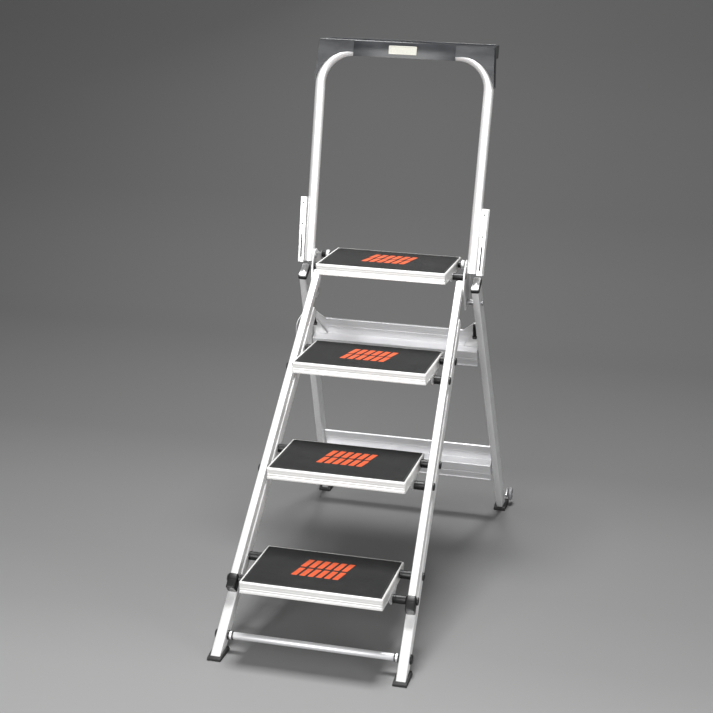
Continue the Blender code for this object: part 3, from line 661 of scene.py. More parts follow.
def dome(radius, height, segments=20):
    """A rivet or screw head along +X, standing on the origin."""
    shares = ((0.0, 1.0), (0.25, 1.0), (0.62, 0.86), (0.88, 0.55), (1.0, 0.18))
    return turned(ORIGIN, [(height * up, radius * out) for up, out in shares], segments)


def facing(bm, side):
    """Turns a shape that stands along +X to face a side."""
    if side < 0:
        bmesh.ops.scale(bm, vec=(-1.0, 1.0, 1.0), verts=bm.verts)
    return bm


def hexagon_nut(centre, x0, x1, across):
    """A hexagon nut or bolt head along X with its corners taken off."""
    radius = across / math.sqrt(3)
    ease = min(0.0008, abs(x1 - x0) * 0.3)
    low, high = min(x0, x1), max(x0, x1)
    profile = [(low, radius * 0.90), (low + ease, radius), (high - ease, radius), (high, radius * 0.90)]
    return turned(Vector((0.0, centre.y, centre.z)), profile, 6)


def side_reach(name):
    """How near to the middle plane a node starts and how far from it it ends."""
    low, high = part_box(name)
    return min(abs(low.x), abs(high.x)), max(abs(low.x), abs(high.x))


# ---------------------------------------------------------------- front rails
def make_upper_rail(side_name):
    name = "rail_upper_" + side_name
    low = end_centre(name, -ALONG)
    high = end_centre(name, ALONG)
    axes = beam_axes(low, high - low)
    length = (high - low).length
    grooves = (-0.0045, 0.0045)
    outer = section(UPPER_W, UPPER_D, 0.0032, grooves, 0.0006)
    inner = section(UPPER_W - 2 * RAIL_WALL, UPPER_D - 2 * RAIL_WALL, 0.0014, grooves, 0.0)
    rail = hollow_bar(axes, length, outer, inner)
    piece("upper_rail_" + side_name, rail, SILVER_RAIL, "front_frame", (name,))

    # The boot on the lower end: a shell with a waist, and four grip ribs on its face
    w, d = UPPER_W + 0.005, UPPER_D + 0.0056
    levels = (
        (-0.0040, w - 0.0030, d - 0.0030, 0.0030),
        (-0.0028, w - 0.0008, d - 0.0008, 0.0040),
        (-0.0014, w, d, 0.0042),
        (0.0180, w, d, 0.0042),
        (0.0186, w - 0.0012, d - 0.0012, 0.0038),
        (0.0200, w - 0.0012, d - 0.0012, 0.0038),
        (0.0206, w, d, 0.0042),
        (0.0352, w, d, 0.0042),
        (0.0360, w - 0.0012, d - 0.0012, 0.0040),
        (0.0360, UPPER_W + 0.0006, UPPER_D + 0.0006, 0.0032),
        (-0.0003, UPPER_W + 0.0006, UPPER_D + 0.0006, 0.0032),
    )
    shell = stack(axes, levels)
    rib = upright(((0.0, w * 0.56, 0.0012, 0.0003), (0.0007, w * 0.50, 0.0008, 0.0003)))
    ribs = repeated(rib, 4, ORIGIN, (0.0, 0.0030, 0.0), finish=NYLON)
    onto_face = Matrix.Translation((0.0, -d / 2 + 0.0002, 0.0030)) @ Matrix.Rotation(math.pi / 2, 4, "X")
    ribs.transform(axes @ onto_face)
    piece("boot_" + side_name, merged(shell, ribs), NYLON, "front_frame", ("rail_boot_" + side_name,))

    levels = (
        (length - 0.012, UPPER_W - 0.0062, UPPER_D - 0.0062, 0.0012),
        (length - 0.010, UPPER_W - 0.0052, UPPER_D - 0.0052, 0.0014),
        (length + 0.0003, UPPER_W - 0.0052, UPPER_D - 0.0052, 0.0014),
        (length + 0.0003, UPPER_W - 0.0004, UPPER_D - 0.0004, 0.0030),
        (length + 0.0022, UPPER_W, UPPER_D, 0.0032),
        (length + 0.0034, UPPER_W - 0.0012, UPPER_D - 0.0012, 0.0030),
        (length + 0.0040, UPPER_W - 0.0040, UPPER_D - 0.0040, 0.0024),
    )
    plug = stack(axes, levels)
    piece("rail_top_plug_" + side_name, plug, NYLON, "front_frame", ("rail_plug_" + side_name,))


def make_lower_rail(side_name):
    name = "rail_lower_" + side_name
    high = end_centre(name, ALONG)
    low = end_centre(name, DOWN, 0.0004)
    axes = beam_axes(low, high - low)
    length = (high - low).length
    grooves = (-0.0070, 0.0070)
    outer = section(LOWER_W, LOWER_D, 0.0034, grooves, 0.0007)
    inner = section(LOWER_W - 2 * RAIL_WALL, LOWER_D - 2 * RAIL_WALL, 0.0014, grooves, 0.0)
    rail = hollow_bar(axes, length, outer, inner, SOLE)
    piece("lower_rail_" + side_name, rail, SILVER_RAIL, "leg_frame", (name,))

    levels = (
        (length - 0.010, LOWER_W - 0.0052, LOWER_D - 0.0052, 0.0014),
        (length + 0.0003, LOWER_W - 0.0052, LOWER_D - 0.0052, 0.0014),
        (length + 0.0003, LOWER_W - 0.0010, LOWER_D - 0.0010, 0.0030),
        (length + 0.0020, LOWER_W - 0.0010, LOWER_D - 0.0010, 0.0030),
        (length + 0.0028, LOWER_W - 0.0034, LOWER_D - 0.0034, 0.0024),
    )
    piece("lower_rail_plug_" + side_name, stack(axes, levels), NYLON, "leg_frame")

    make_shoe("front_foot_" + side_name, "leg_frame")


def make_shoe(name, body):
    """A rubber shoe: the frame's own outline, rounded over, with grooves across its sole."""
    low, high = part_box(name)
    pitch = 0.006
    wide = high.x - low.x + 0.01
    tooth = upright(((0.0, wide, 0.0016, 0.0003), (0.0016, wide, 0.0009, 0.0003)))
    count = int((high.y - low.y - 0.012) / pitch)
    start = ((low.x + high.x) / 2, low.y + 0.008, -0.0003)
    grooves = repeated(tooth, count, start, (0.0, pitch, 0.0), finish=SHOE_RUBBER)
    shoe = carve(eased_copy(name, 0.0014, 3), grooves)
    piece(name.replace("foot", "shoe"), shoe, SHOE_RUBBER, body, (name,))


def make_rung():
    """The bottom rung: a tube between two collars, and its thin ends through the rails."""
    low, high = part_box("bottom_rung")
    centre = (low + high) / 2
    half = (high.x - low.x) / 2
    inner, outer = side_reach("rung_bushing_right")
    radius = 0.0095
    bore = 0.0071
    spindle = 0.0060
    rail_out = half - 0.004
    half_profile = [
        (inner - 0.0014, radius),
        (inner - 0.0006, radius - 0.0005),
        (inner + 0.0001, bore),
        (inner + 0.0001, spindle),
        (rail_out + 0.0010, spindle),
        (half - 0.0008, 0.0058),
        (half, 0.0040),
    ]
    profile = [(-x, size) for x, size in reversed(half_profile)] + half_profile
    tube = turned(Vector((0.0, centre.y, centre.z)), profile, 48)
    piece("rung_tube", tube, SILVER_BAR, "leg_frame", ("bottom_rung",))

    flange = 0.0125
    collar_profile = (
        (inner - 0.0002, 0.0098),
        (inner + 0.0004, 0.0112),
        (inner + 0.0028, 0.0112),
        (inner + 0.0034, 0.0096),
        (outer - 0.0050, 0.0096),
        (outer - 0.0046, flange - 0.0006),
        (outer - 0.0038, flange),
        (outer - 0.0006, flange),
        (outer, flange - 0.0008),
    )
    ferrule_profile = (
        (inner + 0.0030, 0.0101),
        (inner + 0.0034, 0.0105),
        (outer - 0.0052, 0.0105),
        (outer - 0.0048, 0.0101),
    )
    cap_profile = (
        (half - 0.0046, 0.0122),
        (half - 0.0038, 0.0128),
        (half - 0.0006, 0.0124),
        (half + 0.0016, 0.0104),
        (half + 0.0026, 0.0060),
    )
    for side_name, side in SIDES:
        collar = turned_out(side, centre, collar_profile)
        piece("rung_collar_" + side_name, collar, NYLON, "leg_frame", ("rung_bushing_" + side_name,))
        ferrule = turned_out(side, centre, ferrule_profile)
        piece("rung_ferrule_" + side_name, ferrule, SILVER_BAR, "leg_frame")
        end_cap = turned_out(side, centre, cap_profile)
        piece("rung_end_cap_" + side_name, end_cap, NYLON, "leg_frame")


# ---------------------------------------------------------------- treads
# A tread's folded edge, as (drawn in by, height from its top): from the deck's underside over
# the rounded rim, down the beaded skirt, round the hem and up inside
TREAD_SKIRT = (
    (0.0052, -0.0030),
    (0.0052, -0.0006),
    (0.0048, -0.0001),
    (0.0042, 0.0000),
    (0.0026, 0.0000),
    (0.0012, -0.0005),
    (0.0003, -0.0016),
    (0.0000, -0.0032),
    (0.0000, -0.0088),
    (0.0003, -0.0096),
    (0.0010, -0.0101),
    (0.0010, -0.0112),
    (0.0007, -0.0116),
    (0.0007, -0.0158),
    (0.0009, -0.0162),
    (0.0009, -0.0170),
    (0.0007, -0.0174),
    (0.0007, -0.0216),
    (0.0009, -0.0220),
    (0.0009, -0.0228),
    (0.0007, -0.0232),
    (0.0006, -0.0276),
    (0.0000, -0.0284),
    (0.0000, -0.0300),
    (0.0006, -0.0308),
    (0.0016, -0.0310),
    (0.0090, -0.0310),
    (0.0098, -0.0306),
    (0.0098, -0.0294),
    (0.0090, -0.0290),
    (0.0036, -0.0288),
    (0.0030, -0.0280),
    (0.0030, -0.0064),
    (0.0036, -0.0056),
)
MAT_EDGE = ((0.0, -0.0027), (0.0, -0.0004), (0.0004, 0.0001), (0.0050, 0.0001), (0.0054, -0.0006))


def tread_ring(low, high, inset, height, radius=0.0042, steps=5):
    """A rounded rectangle about a tread, drawn in by inset."""
    bend = max(radius - inset, 0.0009)
    centre_x = (low.x + high.x) / 2
    centre_y = (low.y + high.y) / 2
    outline = section(high.x - low.x - 2 * inset, high.y - low.y - 2 * inset, bend, steps=steps)
    return [Vector((centre_x + x, centre_y + y, height)) for x, y in outline]


def make_tread(word):
    """A tread or the platform: folded sheet, cheeks for the front rod, deck ribs and its mat."""
    name = word + "_frame"
    low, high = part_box(name)
    top = high.z
    half = high.x
    rings = [tread_ring(low, high, inset, top + drop) for inset, drop in TREAD_SKIRT]
    piece(word + "_tread", loft(rings), SILVER_TREAD, word, (name,), 30.0)

    front = middle("rod_front_" + word)
    bottom = front.z - 0.012
    outline = rounded(
        (
            (front.y - 0.058, top - 0.024),
            (front.y - 0.050, top - 0.032),
            (front.y - 0.015, bottom),
            (front.y + 0.015, bottom),
            (front.y + 0.050, top - 0.032),
            (front.y + 0.058, top - 0.024),
        ),
        (0.0, 0.008, 0.012, 0.012, 0.008, 0.0),
        5,
    )
    boss_profile = (
        (half - 0.0050, 0.0095),
        (half - 0.0044, 0.0102),
        (half - 0.0010, 0.0102),
        (half + 0.0002, 0.0098),
    )
    for side_name, side in SIDES:
        face = side * (half - 0.0002)
        cheek = side_plate(outline, side * (half - 0.0032), face)
        boss = turned_out(side, front, boss_profile, 32)
        head = facing(dome(0.0030, 0.0014), side)
        first = (face, front.y - 0.034, top - 0.0270)
        rivets = repeated(head, 2, first, (0.0, 0.068, 0.0), finish=SILVER_PLATE)
        piece(f"{word}_cheek_{side_name}", merged(cheek, boss, rivets), SILVER_PLATE, word)

    # Stiffening ribs under the deck
    rib = upright(((-0.0100, 0.3640, 0.0016, 0.0004), (0.0, 0.3640, 0.0026, 0.0006)))
    ribs = repeated(rib, 5, (0.0, low.y + 0.0450, top - 0.0052), (0.0, 0.0417, 0.0), finish=SILVER_TREAD)
    piece(word + "_deck_ribs", ribs, SILVER_TREAD, word)

    make_mat(word, top)


def make_mat(word, top):
    """The ribbed rubber mat and the marking on it."""
    name = word + "_mat"
    low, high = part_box(name)
    slab = loft([tread_ring(low, high, inset, top + drop, 0.0020, 3) for inset, drop in MAT_EDGE])
    pitch = 0.0030
    wide = high.x - low.x
    rib = upright(((0.0, wide - 0.0120, 0.0019, 0.0002), (0.0012, wide - 0.0126, 0.0011, 0.0002)))
    count = int((high.y - low.y - 0.0130) / pitch)
    start = (low.y + high.y) / 2 - pitch * (count - 1) / 2
    ribs = repeated(rib, count, (0.0, start, top - 0.0006), (0.0, pitch, 0.0), finish=MAT_RUBBER)
    piece(word + "_rubber", merged(slab, ribs), MAT_RUBBER, word, (name,))

    # Generic safety marking: two rows of six slanted orange bars
    centre_y = low.y + 0.1328
    width, depth, lean = 0.0150, 0.0500, 0.0110
    flat = [
        (-width / 2 - lean / 2, -depth / 2),
        (width / 2 - lean / 2, -depth / 2),
        (width / 2 + lean / 2, depth / 2),
        (-width / 2 + lean / 2, depth / 2),
    ]
    flat = rounded(flat, 0.0016, 2)
    rows = []
    for offset, shift in ((0.0295, 0.0060), (-0.0295, -0.0040)):
        bar = loft([[Vector((x, y, height)) for x, y in flat] for height in (0.0, 0.0010)])
        first = (-0.0575 + shift, centre_y + offset, top - 0.0002)
        rows.append(repeated(bar, 6, first, (0.0218, 0.0, 0.0), finish=ORANGE))
    piece(word + "_safety_bars", merged(*rows), ORANGE, word)


# ---------------------------------------------------------------- cross rods
ROD = 0.0045
SLEEVE = 0.0118
CAP = 0.0106
CAP_LENGTH = 0.004
PLATFORM_ROD = (
    (0.1873, ROD),
    (0.1873, 0.0092),
    (0.1881, 0.0100),
    (0.2184, 0.0100),
    (0.2194, 0.0092),
    (0.2194, ROD),
)
PLATFORM_ENDS = {
    "front": ((0.2242, ROD), (0.2242, 0.0060), (0.2250, 0.0058)),
    "rear": ((0.2240, ROD), (0.2245, 0.0040)),
}
KNOB = (
    (0.1960, 0.0101),
    (0.1966, 0.0122),
    (0.1980, 0.0130),
    (0.2040, 0.0130),
    (0.2054, 0.0122),
    (0.2060, 0.0101),
)


def rod_profile(end, rail_width, clearance):
    """Half of a tread's cross rod, outwards from the tread's side to the outer cap."""
    outer = end - CAP_LENGTH
    inner = outer - rail_width - 2 * clearance
    tread = TREAD_HALF + 0.0006
    return (
        (tread, ROD),
        (tread, SLEEVE - 0.0008),
        (tread + 0.0008, SLEEVE),
        (tread + 0.0070, SLEEVE),
        (tread + 0.0074, SLEEVE - 0.0005),
        (tread + 0.0082, SLEEVE - 0.0005),
        (tread + 0.0086, SLEEVE),
        (inner - 0.0008, SLEEVE),
        (inner, SLEEVE - 0.0008),
        (inner, ROD),
        (outer, ROD),
        (outer, CAP - 0.0004),
        (outer + 0.0006, CAP),
        (end - 0.0010, CAP - 0.0003),
        (end - 0.0002, CAP - 0.0014),
        (end, CAP * 0.55),
        (end - 0.0012, CAP * 0.50),
    )


def make_rods(word):
    """A tread's front rod through the upper rails and rear rod through the lower ones."""
    for tag, rail in (("front", UPPER_W), ("rear", LOWER_W)):
        name = f"rod_{tag}_{word}"
        spot = middle(name)
        spot.x = 0.0
        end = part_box(name)[1].x
        if word == "platform":
            half = PLATFORM_ROD + PLATFORM_ENDS[tag]
        else:
            clearance = 0.0038 if name == "rod_front_step_1" else 0.0012
            half = rod_profile(end, rail, clearance)
        rod = turned(spot, [(-x, radius) for x, radius in reversed(half)] + list(half))
        if word != "platform":
            # Twenty-four fine teeth round each cap
            teeth = 24
            tooth = upright(((0.0090, 0.0022, 0.0011, 0.0002), (0.0103, 0.0022, 0.0007, 0.0002)))
            for side in (-1, 1):
                place = (side * (end - 0.0022), spot.y, spot.z)
                turn = (2 * math.pi / teeth, 0.0, 0.0)
                rod = merged(rod, repeated(tooth.copy(), teeth, place, turn=turn, finish=NYLON))
            tooth.free()
        piece(f"{tag}_rod_{word}", rod, NYLON, word, (name,))
        if name == "rod_rear_platform":
            for side_name, side in SIDES:
                piece("platform_knob_" + side_name, turned_out(side, spot, KNOB), SILVER_PLATE, word)


# ---------------------------------------------------------------- rear frame
def make_rear_leg(side_name, side):
    name = "rear_leg_" + side_name
    high = end_centre(name, Vector((0.0, -0.526, 0.850)))
    low = end_centre(name, DOWN, 0.0004)
    axes = beam_axes(low, high - low)
    length = (high - low).length
    grooves = (-0.0140, 0.0, 0.0140)
    outer = section(LEG_W, LEG_D, 0.0036, grooves, 0.0007)
    inner = section(LEG_W - 2 * LEG_WALL, LEG_D - 2 * LEG_WALL, 0.0016, grooves, 0.0)
    leg = hollow_bar(axes, length, outer, inner, SOLE)
    piece("back_leg_" + side_name, leg, SILVER_LEG, "rear_frame", (name,))

    make_shoe("rear_foot_" + side_name, "rear_frame")

    w, d = LEG_W + 0.005, LEG_D + 0.005
    levels = (
        (length - 0.0050, LEG_W + 0.0006, LEG_D + 0.0006, 0.0036),
        (length - 0.0050, w - 0.0012, d - 0.0012, 0.0046),
        (length - 0.0058, w, d, 0.0050),
        (length - 0.0137, w, d, 0.0050),
        (length - 0.0145, w - 0.0012, d - 0.0012, 0.0046),
        (length - 0.0145, LEG_W + 0.0006, LEG_D + 0.0006, 0.0036),
    )
    collar = stack(axes, levels, closed=True)
    piece("leg_top_collar_" + side_name, collar, NYLON, "rear_frame", ("leg_collar_" + side_name,))

    levels = (
        (length - 0.0060, LEG_W - 0.0050, LEG_D - 0.0050, 0.0014),
        (length - 0.0020, LEG_W - 0.0044, LEG_D - 0.0044, 0.0016),
        (length - 0.0006, LEG_W - 0.0044, LEG_D - 0.0044, 0.0016),
        (length - 0.0002, LEG_W - 0.0056, LEG_D - 0.0056, 0.0012),
    )
    piece("leg_top_insert_" + side_name, stack(axes, levels), SILVER_PLATE, "rear_frame")

    # Pivot bolt: a domed head inside, washer faces and a lock nut outside
    bolt = "leg_bolt_" + side_name
    centre = middle(bolt)
    inside, outside = side_reach(bolt)
    profile = (
        (inside, 0.0030),
        (inside + 0.0008, 0.0064),
        (inside + 0.0022, 0.0080),
        (inside + 0.0028, 0.0080),
        (inside + 0.0028, 0.0050),
        (inside + 0.0076, 0.0050),
        (inside + 0.0076, 0.0092),
        (inside + 0.0082, 0.0095),
        (outside - 0.0284, 0.0095),
        (outside - 0.0278, 0.0088),
        (outside - 0.0275, 0.0050),
        (outside - 0.0035, 0.0050),
        (outside - 0.0035, 0.0085),
        (outside - 0.0022, 0.0085),
        (outside - 0.0022, 0.0040),
        (outside - 0.0001, 0.0036),
    )
    shank = turned_out(side, centre, profile, 32)
    nut = hexagon_nut(centre, side * (outside - 0.0024), side * (outside - 0.0002), 0.0125)
    piece("leg_pivot_" + side_name, merged(shank, nut), ZINC, "rear_frame", (bolt,))


def make_wheel(side_name, side):
    """A small wheel: rim, dished hub and eight spokes, with its axle and bracket."""
    name = "wheel_" + side_name
    low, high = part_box(name)
    spot = (low + high) / 2
    half = (high.x - low.x) / 2
    radius = (high.z - low.z) / 2
    rim_profile = (
        (-half + 0.0016, radius * 0.66),
        (-half + 0.0004, radius * 0.72),
        (-half, radius * 0.78),
        (-half + 0.0002, radius * 0.90),
        (-half + 0.0016, radius * 0.975),
        (-half + 0.0036, radius),
        (half - 0.0036, radius),
        (half - 0.0016, radius * 0.975),
        (half - 0.0002, radius * 0.90),
        (half, radius * 0.78),
        (half - 0.0004, radius * 0.72),
        (half - 0.0016, radius * 0.66),
    )
    hub_profile = (
        (-half + 0.0022, radius * 0.67),
        (-half + 0.0030, radius * 0.30),
        (-half + 0.0008, radius * 0.28),
        (-half + 0.0004, radius * 0.17),
        (half - 0.0004, radius * 0.17),
        (half - 0.0008, radius * 0.28),
        (half - 0.0030, radius * 0.30),
        (half - 0.0022, radius * 0.67),
    )
    rim = turned(spot, rim_profile, 48, closed=True)
    hub = turned(spot, hub_profile, 48, closed=True)
    deep = half * 1.50
    spoke = upright(((radius * 0.27, deep, 0.0016, 0.0003), (radius * 0.68, deep, 0.0022, 0.0003)))
    spokes = repeated(spoke, 8, spot, turn=(math.pi / 4, 0.0, 0.0), finish=WHEEL_GREY)
    body = "wheel_l" if side < 0 else "wheel_r"
    piece("roller_" + side_name, merged(rim, hub, spokes), WHEEL_GREY, body, (name,))

    axle = "wheel_axle_" + side_name
    inside, outside = side_reach(axle)
    profile = (
        (inside, 0.0030),
        (inside + 0.0006, 0.0052),
        (inside + 0.0017, 0.0055),
        (inside + 0.0017, 0.0030),
        (outside - 0.0017, 0.0030),
        (outside - 0.0017, 0.0055),
        (outside - 0.0008, 0.0050),
        (outside, 0.0028),
    )
    pin = turned_out(side, middle(axle), profile, 24)
    piece("roller_axle_" + side_name, pin, ZINC, "rear_frame", (axle,))
    bracket = "wheel_bracket_" + side_name
    piece("roller_bracket_" + side_name, eased_copy(bracket, 0.0005, 2), ZINC, "rear_frame", (bracket,))


class BarSection:
    """A stepped cross bar's section: heights up the legs and depths to the rear, read from its end."""

    thick = 0.003

    def __init__(self, name):
        self.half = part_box(name)[1].x
        ends = [corner for corner in node_corners(name) if corner.x > self.half - 0.0005]
        heights = sorted(corner.dot(-LEG_DOWN) for corner in ends)
        depths = sorted(corner.dot(LEG_BACK) for corner in ends)
        self.low, self.top = heights[0], heights[-1]
        self.front, self.back = depths[0], depths[-1]
        # The ledge is the highest place of the front face
        face = [corner for corner in ends if abs(corner.dot(LEG_BACK) - self.front) < 0.0004]
        self.ledge = max(corner.dot(-LEG_DOWN) for corner in face)

    def point(self, height, depth):
        return -LEG_DOWN * height + LEG_BACK * depth

    def spot(self, height, depth):
        point = self.point(height, depth)
        return (point.y, point.z)


def make_rear_bar(word):
    name = "rear_bar_" + word
    bar = BarSection(name)
    thick = bar.thick
    half = bar.half
    outline = rounded(
        [
            bar.spot(bar.low, bar.front),
            bar.spot(bar.ledge, bar.front),
            bar.spot(bar.ledge, bar.back - thick),
            bar.spot(bar.top, bar.back - thick),
            bar.spot(bar.top, bar.back),
            bar.spot(bar.ledge - thick, bar.back),
            bar.spot(bar.ledge - thick, bar.front + thick),
            bar.spot(bar.low, bar.front + thick),
        ],
        (0.0012, 0.0022, 0.0012, 0.0012, 0.0012, 0.0034, 0.0012, 0.0012),
        4,
    )
    sheet = loft([[Vector((x, y, z)) for y, z in outline] for x in (-half, half)])

    # Rolled beads along the lower and upper edges and a fine line on each face
    beads = []
    for height, depth, size in (
        (bar.low + 0.0022, bar.front + 0.0004, 0.0022),
        (bar.top - 0.0020, bar.back - thick - 0.0002, 0.0020),
        (bar.low + 0.030, bar.front + 0.0006, 0.0011),
        ((bar.ledge + bar.top) / 2, bar.back - thick + 0.0006, 0.0011),
    ):
        y, z = bar.spot(height, depth)
        profile = (
            (-half + 0.0006, size * 0.7),
            (-half + 0.0014, size),
            (half - 0.0014, size),
            (half - 0.0006, size * 0.7),
        )
        beads.append(turned(Vector((0.0, y, z)), profile, 16))
    piece("back_bar_" + word, merged(sheet, *beads), SILVER_BAR, "rear_frame", (name,), 32.0)

    # End brackets folded against the legs, each with two rivets
    near, far = bar.front + thick + 0.0004, bar.front + 0.030
    under, over = bar.low + 0.006, bar.ledge - thick - 0.002
    tab = [bar.spot(under, near), bar.spot(under, far), bar.spot(over, far), bar.spot(over, near)]
    tab = rounded(tab, 0.004, 4)
    first = bar.point(bar.low + 0.018, bar.front + 0.016)
    second = bar.point(bar.ledge - 0.016, bar.front + 0.016)
    gap = second - first
    for side_name, side in SIDES:
        x = side * (half - 0.0002)
        face = x - side * 0.0024
        bracket = side_plate(tab, face, x)
        head = facing(dome(0.0036, 0.0020), -side)
        rivets = repeated(head, 2, (face, first.y, first.z), (0.0, gap.y, gap.z), finish=ZINC)
        piece(f"bar_end_{word}_{side_name}", merged(bracket, rivets), SILVER_BAR, "rear_frame")
    return bar


def make_gusset(side_name, side, bar):
    """The corner at the upper bar's end: plate, black strap and three-cornered brace."""
    name = "bar_gusset_" + side_name
    piece("corner_plate_" + side_name, eased_copy(name, 0.0005, 2), SILVER_PLATE, "rear_frame", (name,))

    # The strap stands beside the plate, with its foot round a nut
    y, z = bar.spot(bar.top - 0.022, bar.front + 0.020)
    y_top, z_top = bar.spot(bar.top + 0.032, bar.front + 0.020)
    rise = Vector((0.0, y_top - y, z_top - z))
    axes = beam_axes(Vector((side * (bar.half - 0.0070), y, z)), rise)
    length = rise.length
    strap_levels = (
        (0.0, 0.0100, 0.0022, 0.0008),
        (length * 0.55, 0.0092, 0.0022, 0.0008),
        (length - 0.003, 0.0060, 0.0022, 0.0008),
        (length, 0.0040, 0.0018, 0.0008),
    )
    foot_levels = (
        (0.0002, 0.0130, 0.0130, 0.0030),
        (0.0060, 0.0130, 0.0130, 0.0030),
        (0.0072, 0.0108, 0.0108, 0.0026),
    )
    strap = merged(stack(axes, strap_levels), stack(axes, foot_levels))
    piece("corner_strap_" + side_name, strap, NYLON, "rear_frame")

    # The brace joins the bar's top edge to the leg
    half, top = bar.half, bar.top
    corners = (
        (half - 0.0460, top - 0.0040),
        (half - 0.0004, top - 0.0040),
        (half - 0.0004, top + 0.0340),
        (half - 0.0080, top + 0.0340),
    )
    flat = rounded(corners, 0.0030, 4)
    rings = []
    for sink, inset in ((0.0072, 0.0005), (0.0066, 0.0), (0.0038, 0.0), (0.0032, 0.0005)):
        ring = []
        for x, height in flat:
            y, z = bar.spot(height - (inset if height > top else -inset), bar.back - sink)
            ring.append(Vector((side * (x - inset if x > half - 0.002 else x), y, z)))
        rings.append(ring)
    piece("corner_brace_" + side_name, loft(rings), SILVER_PLATE, "rear_frame")


# ---------------------------------------------------------------- head
def make_head(side_name, side):
    """The plate at the rail's top, the block that ties it to the rail, and the handrail's bolt."""
    name = "head_plate_" + side_name
    piece("head_bracket_" + side_name, eased_copy(name, 0.0007, 2), SILVER_PLATE, "front_frame", (name,))
    rail_low = end_centre("rail_upper_" + side_name, -ALONG)
    rail_high = end_centre("rail_upper_" + side_name, ALONG)
    spot = rail_high - (rail_high - rail_low).normalized() * 0.020
    plate_in = 0.2200
    face = abs(spot.x) + UPPER_W / 2
    onto_side = Matrix.Rotation(side * math.pi / 2, 4, "Y")
    axes = Matrix.Translation((side * (face - 0.0008), spot.y, spot.z)) @ onto_side
    reach = plate_in - face + 0.0006
    tie = stack(axes, ((0.0, 0.0150, 0.0200, 0.0030), (reach, 0.0150, 0.0200, 0.0030)))
    piece("head_tie_" + side_name, tie, SILVER_PLATE, "front_frame")

    bolt = "hand_bolt_" + side_name
    inside, outside = side_reach(bolt)
    profile = (
        (inside, 0.0026),
        (inside + 0.0006, 0.0052),
        (inside + 0.0018, 0.0068),
        (inside + 0.0024, 0.0070),
        (inside + 0.0024, 0.0040),
        (outside - 0.0030, 0.0040),
        (outside - 0.0030, 0.0070),
        (outside - 0.0020, 0.0070),
        (outside - 0.0006, 0.0054),
        (outside, 0.0028),
    )
    pin = turned_out(side, middle(bolt), profile, 32)
    piece("hand_pivot_" + side_name, pin, ZINC, "handrail", (bolt,))


# ---------------------------------------------------------------- handrail
def hand_line():
    """The tube's centre line, from the left foot round to the right one, and Y at any height."""
    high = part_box("handrail_tube")[1]
    foot = end_centre("handrail_tube", DOWN, 0.0060)
    low_z = HAND_FOOT_Z
    half_low = HAND_FOOT_HALF
    top_z = high.z - HAND_R
    half_high = high.x - HAND_R
    base_y = foot.y - HAND_LEAN * (foot.z - low_z)
    bend_z = top_z - BEND_R
    rising, bending, crossing = 12, 24, 8

    def y_at(z):
        return base_y + HAND_LEAN * (z - low_z)

    points = []
    for step in range(rising + 1):
        z = low_z + (bend_z - low_z) * step / rising
        points.append((-(half_low + (half_high - half_low) * step / rising), z))
    for step in range(1, bending):
        angle = math.pi - math.pi / 2 * step / bending
        x = -(half_high - BEND_R) + BEND_R * math.cos(angle)
        points.append((x, bend_z + BEND_R * math.sin(angle)))
    for step in range(crossing + 1):
        points.append((-(half_high - BEND_R) * (1 - step / crossing), top_z))
    for x, z in reversed(points[:-1]):
        points.append((-x, z))
    return [Vector((x, y_at(z), z)) for x, z in points], y_at


def sweep(points, radius, segments):
    """A round tube along points, with flat closed ends; radius is one size or one for each point."""
    rings = []
    sideways = Vector((0.0, 1.0, 0.0))
    for index, point in enumerate(points):
        before = points[max(index - 1, 0)]
        after = points[min(index + 1, len(points) - 1)]
        ahead = (after - before).normalized()
        first = (sideways - ahead * sideways.dot(ahead)).normalized()
        second = ahead.cross(first)
        size = radius[index] if isinstance(radius, tuple) else radius
        ring = []
        for step in range(segments):
            angle = 2 * math.pi * step / segments
            ring.append(point + first * (size * math.cos(angle)) + second * (size * math.sin(angle)))
        rings.append(ring)
    return loft(rings)


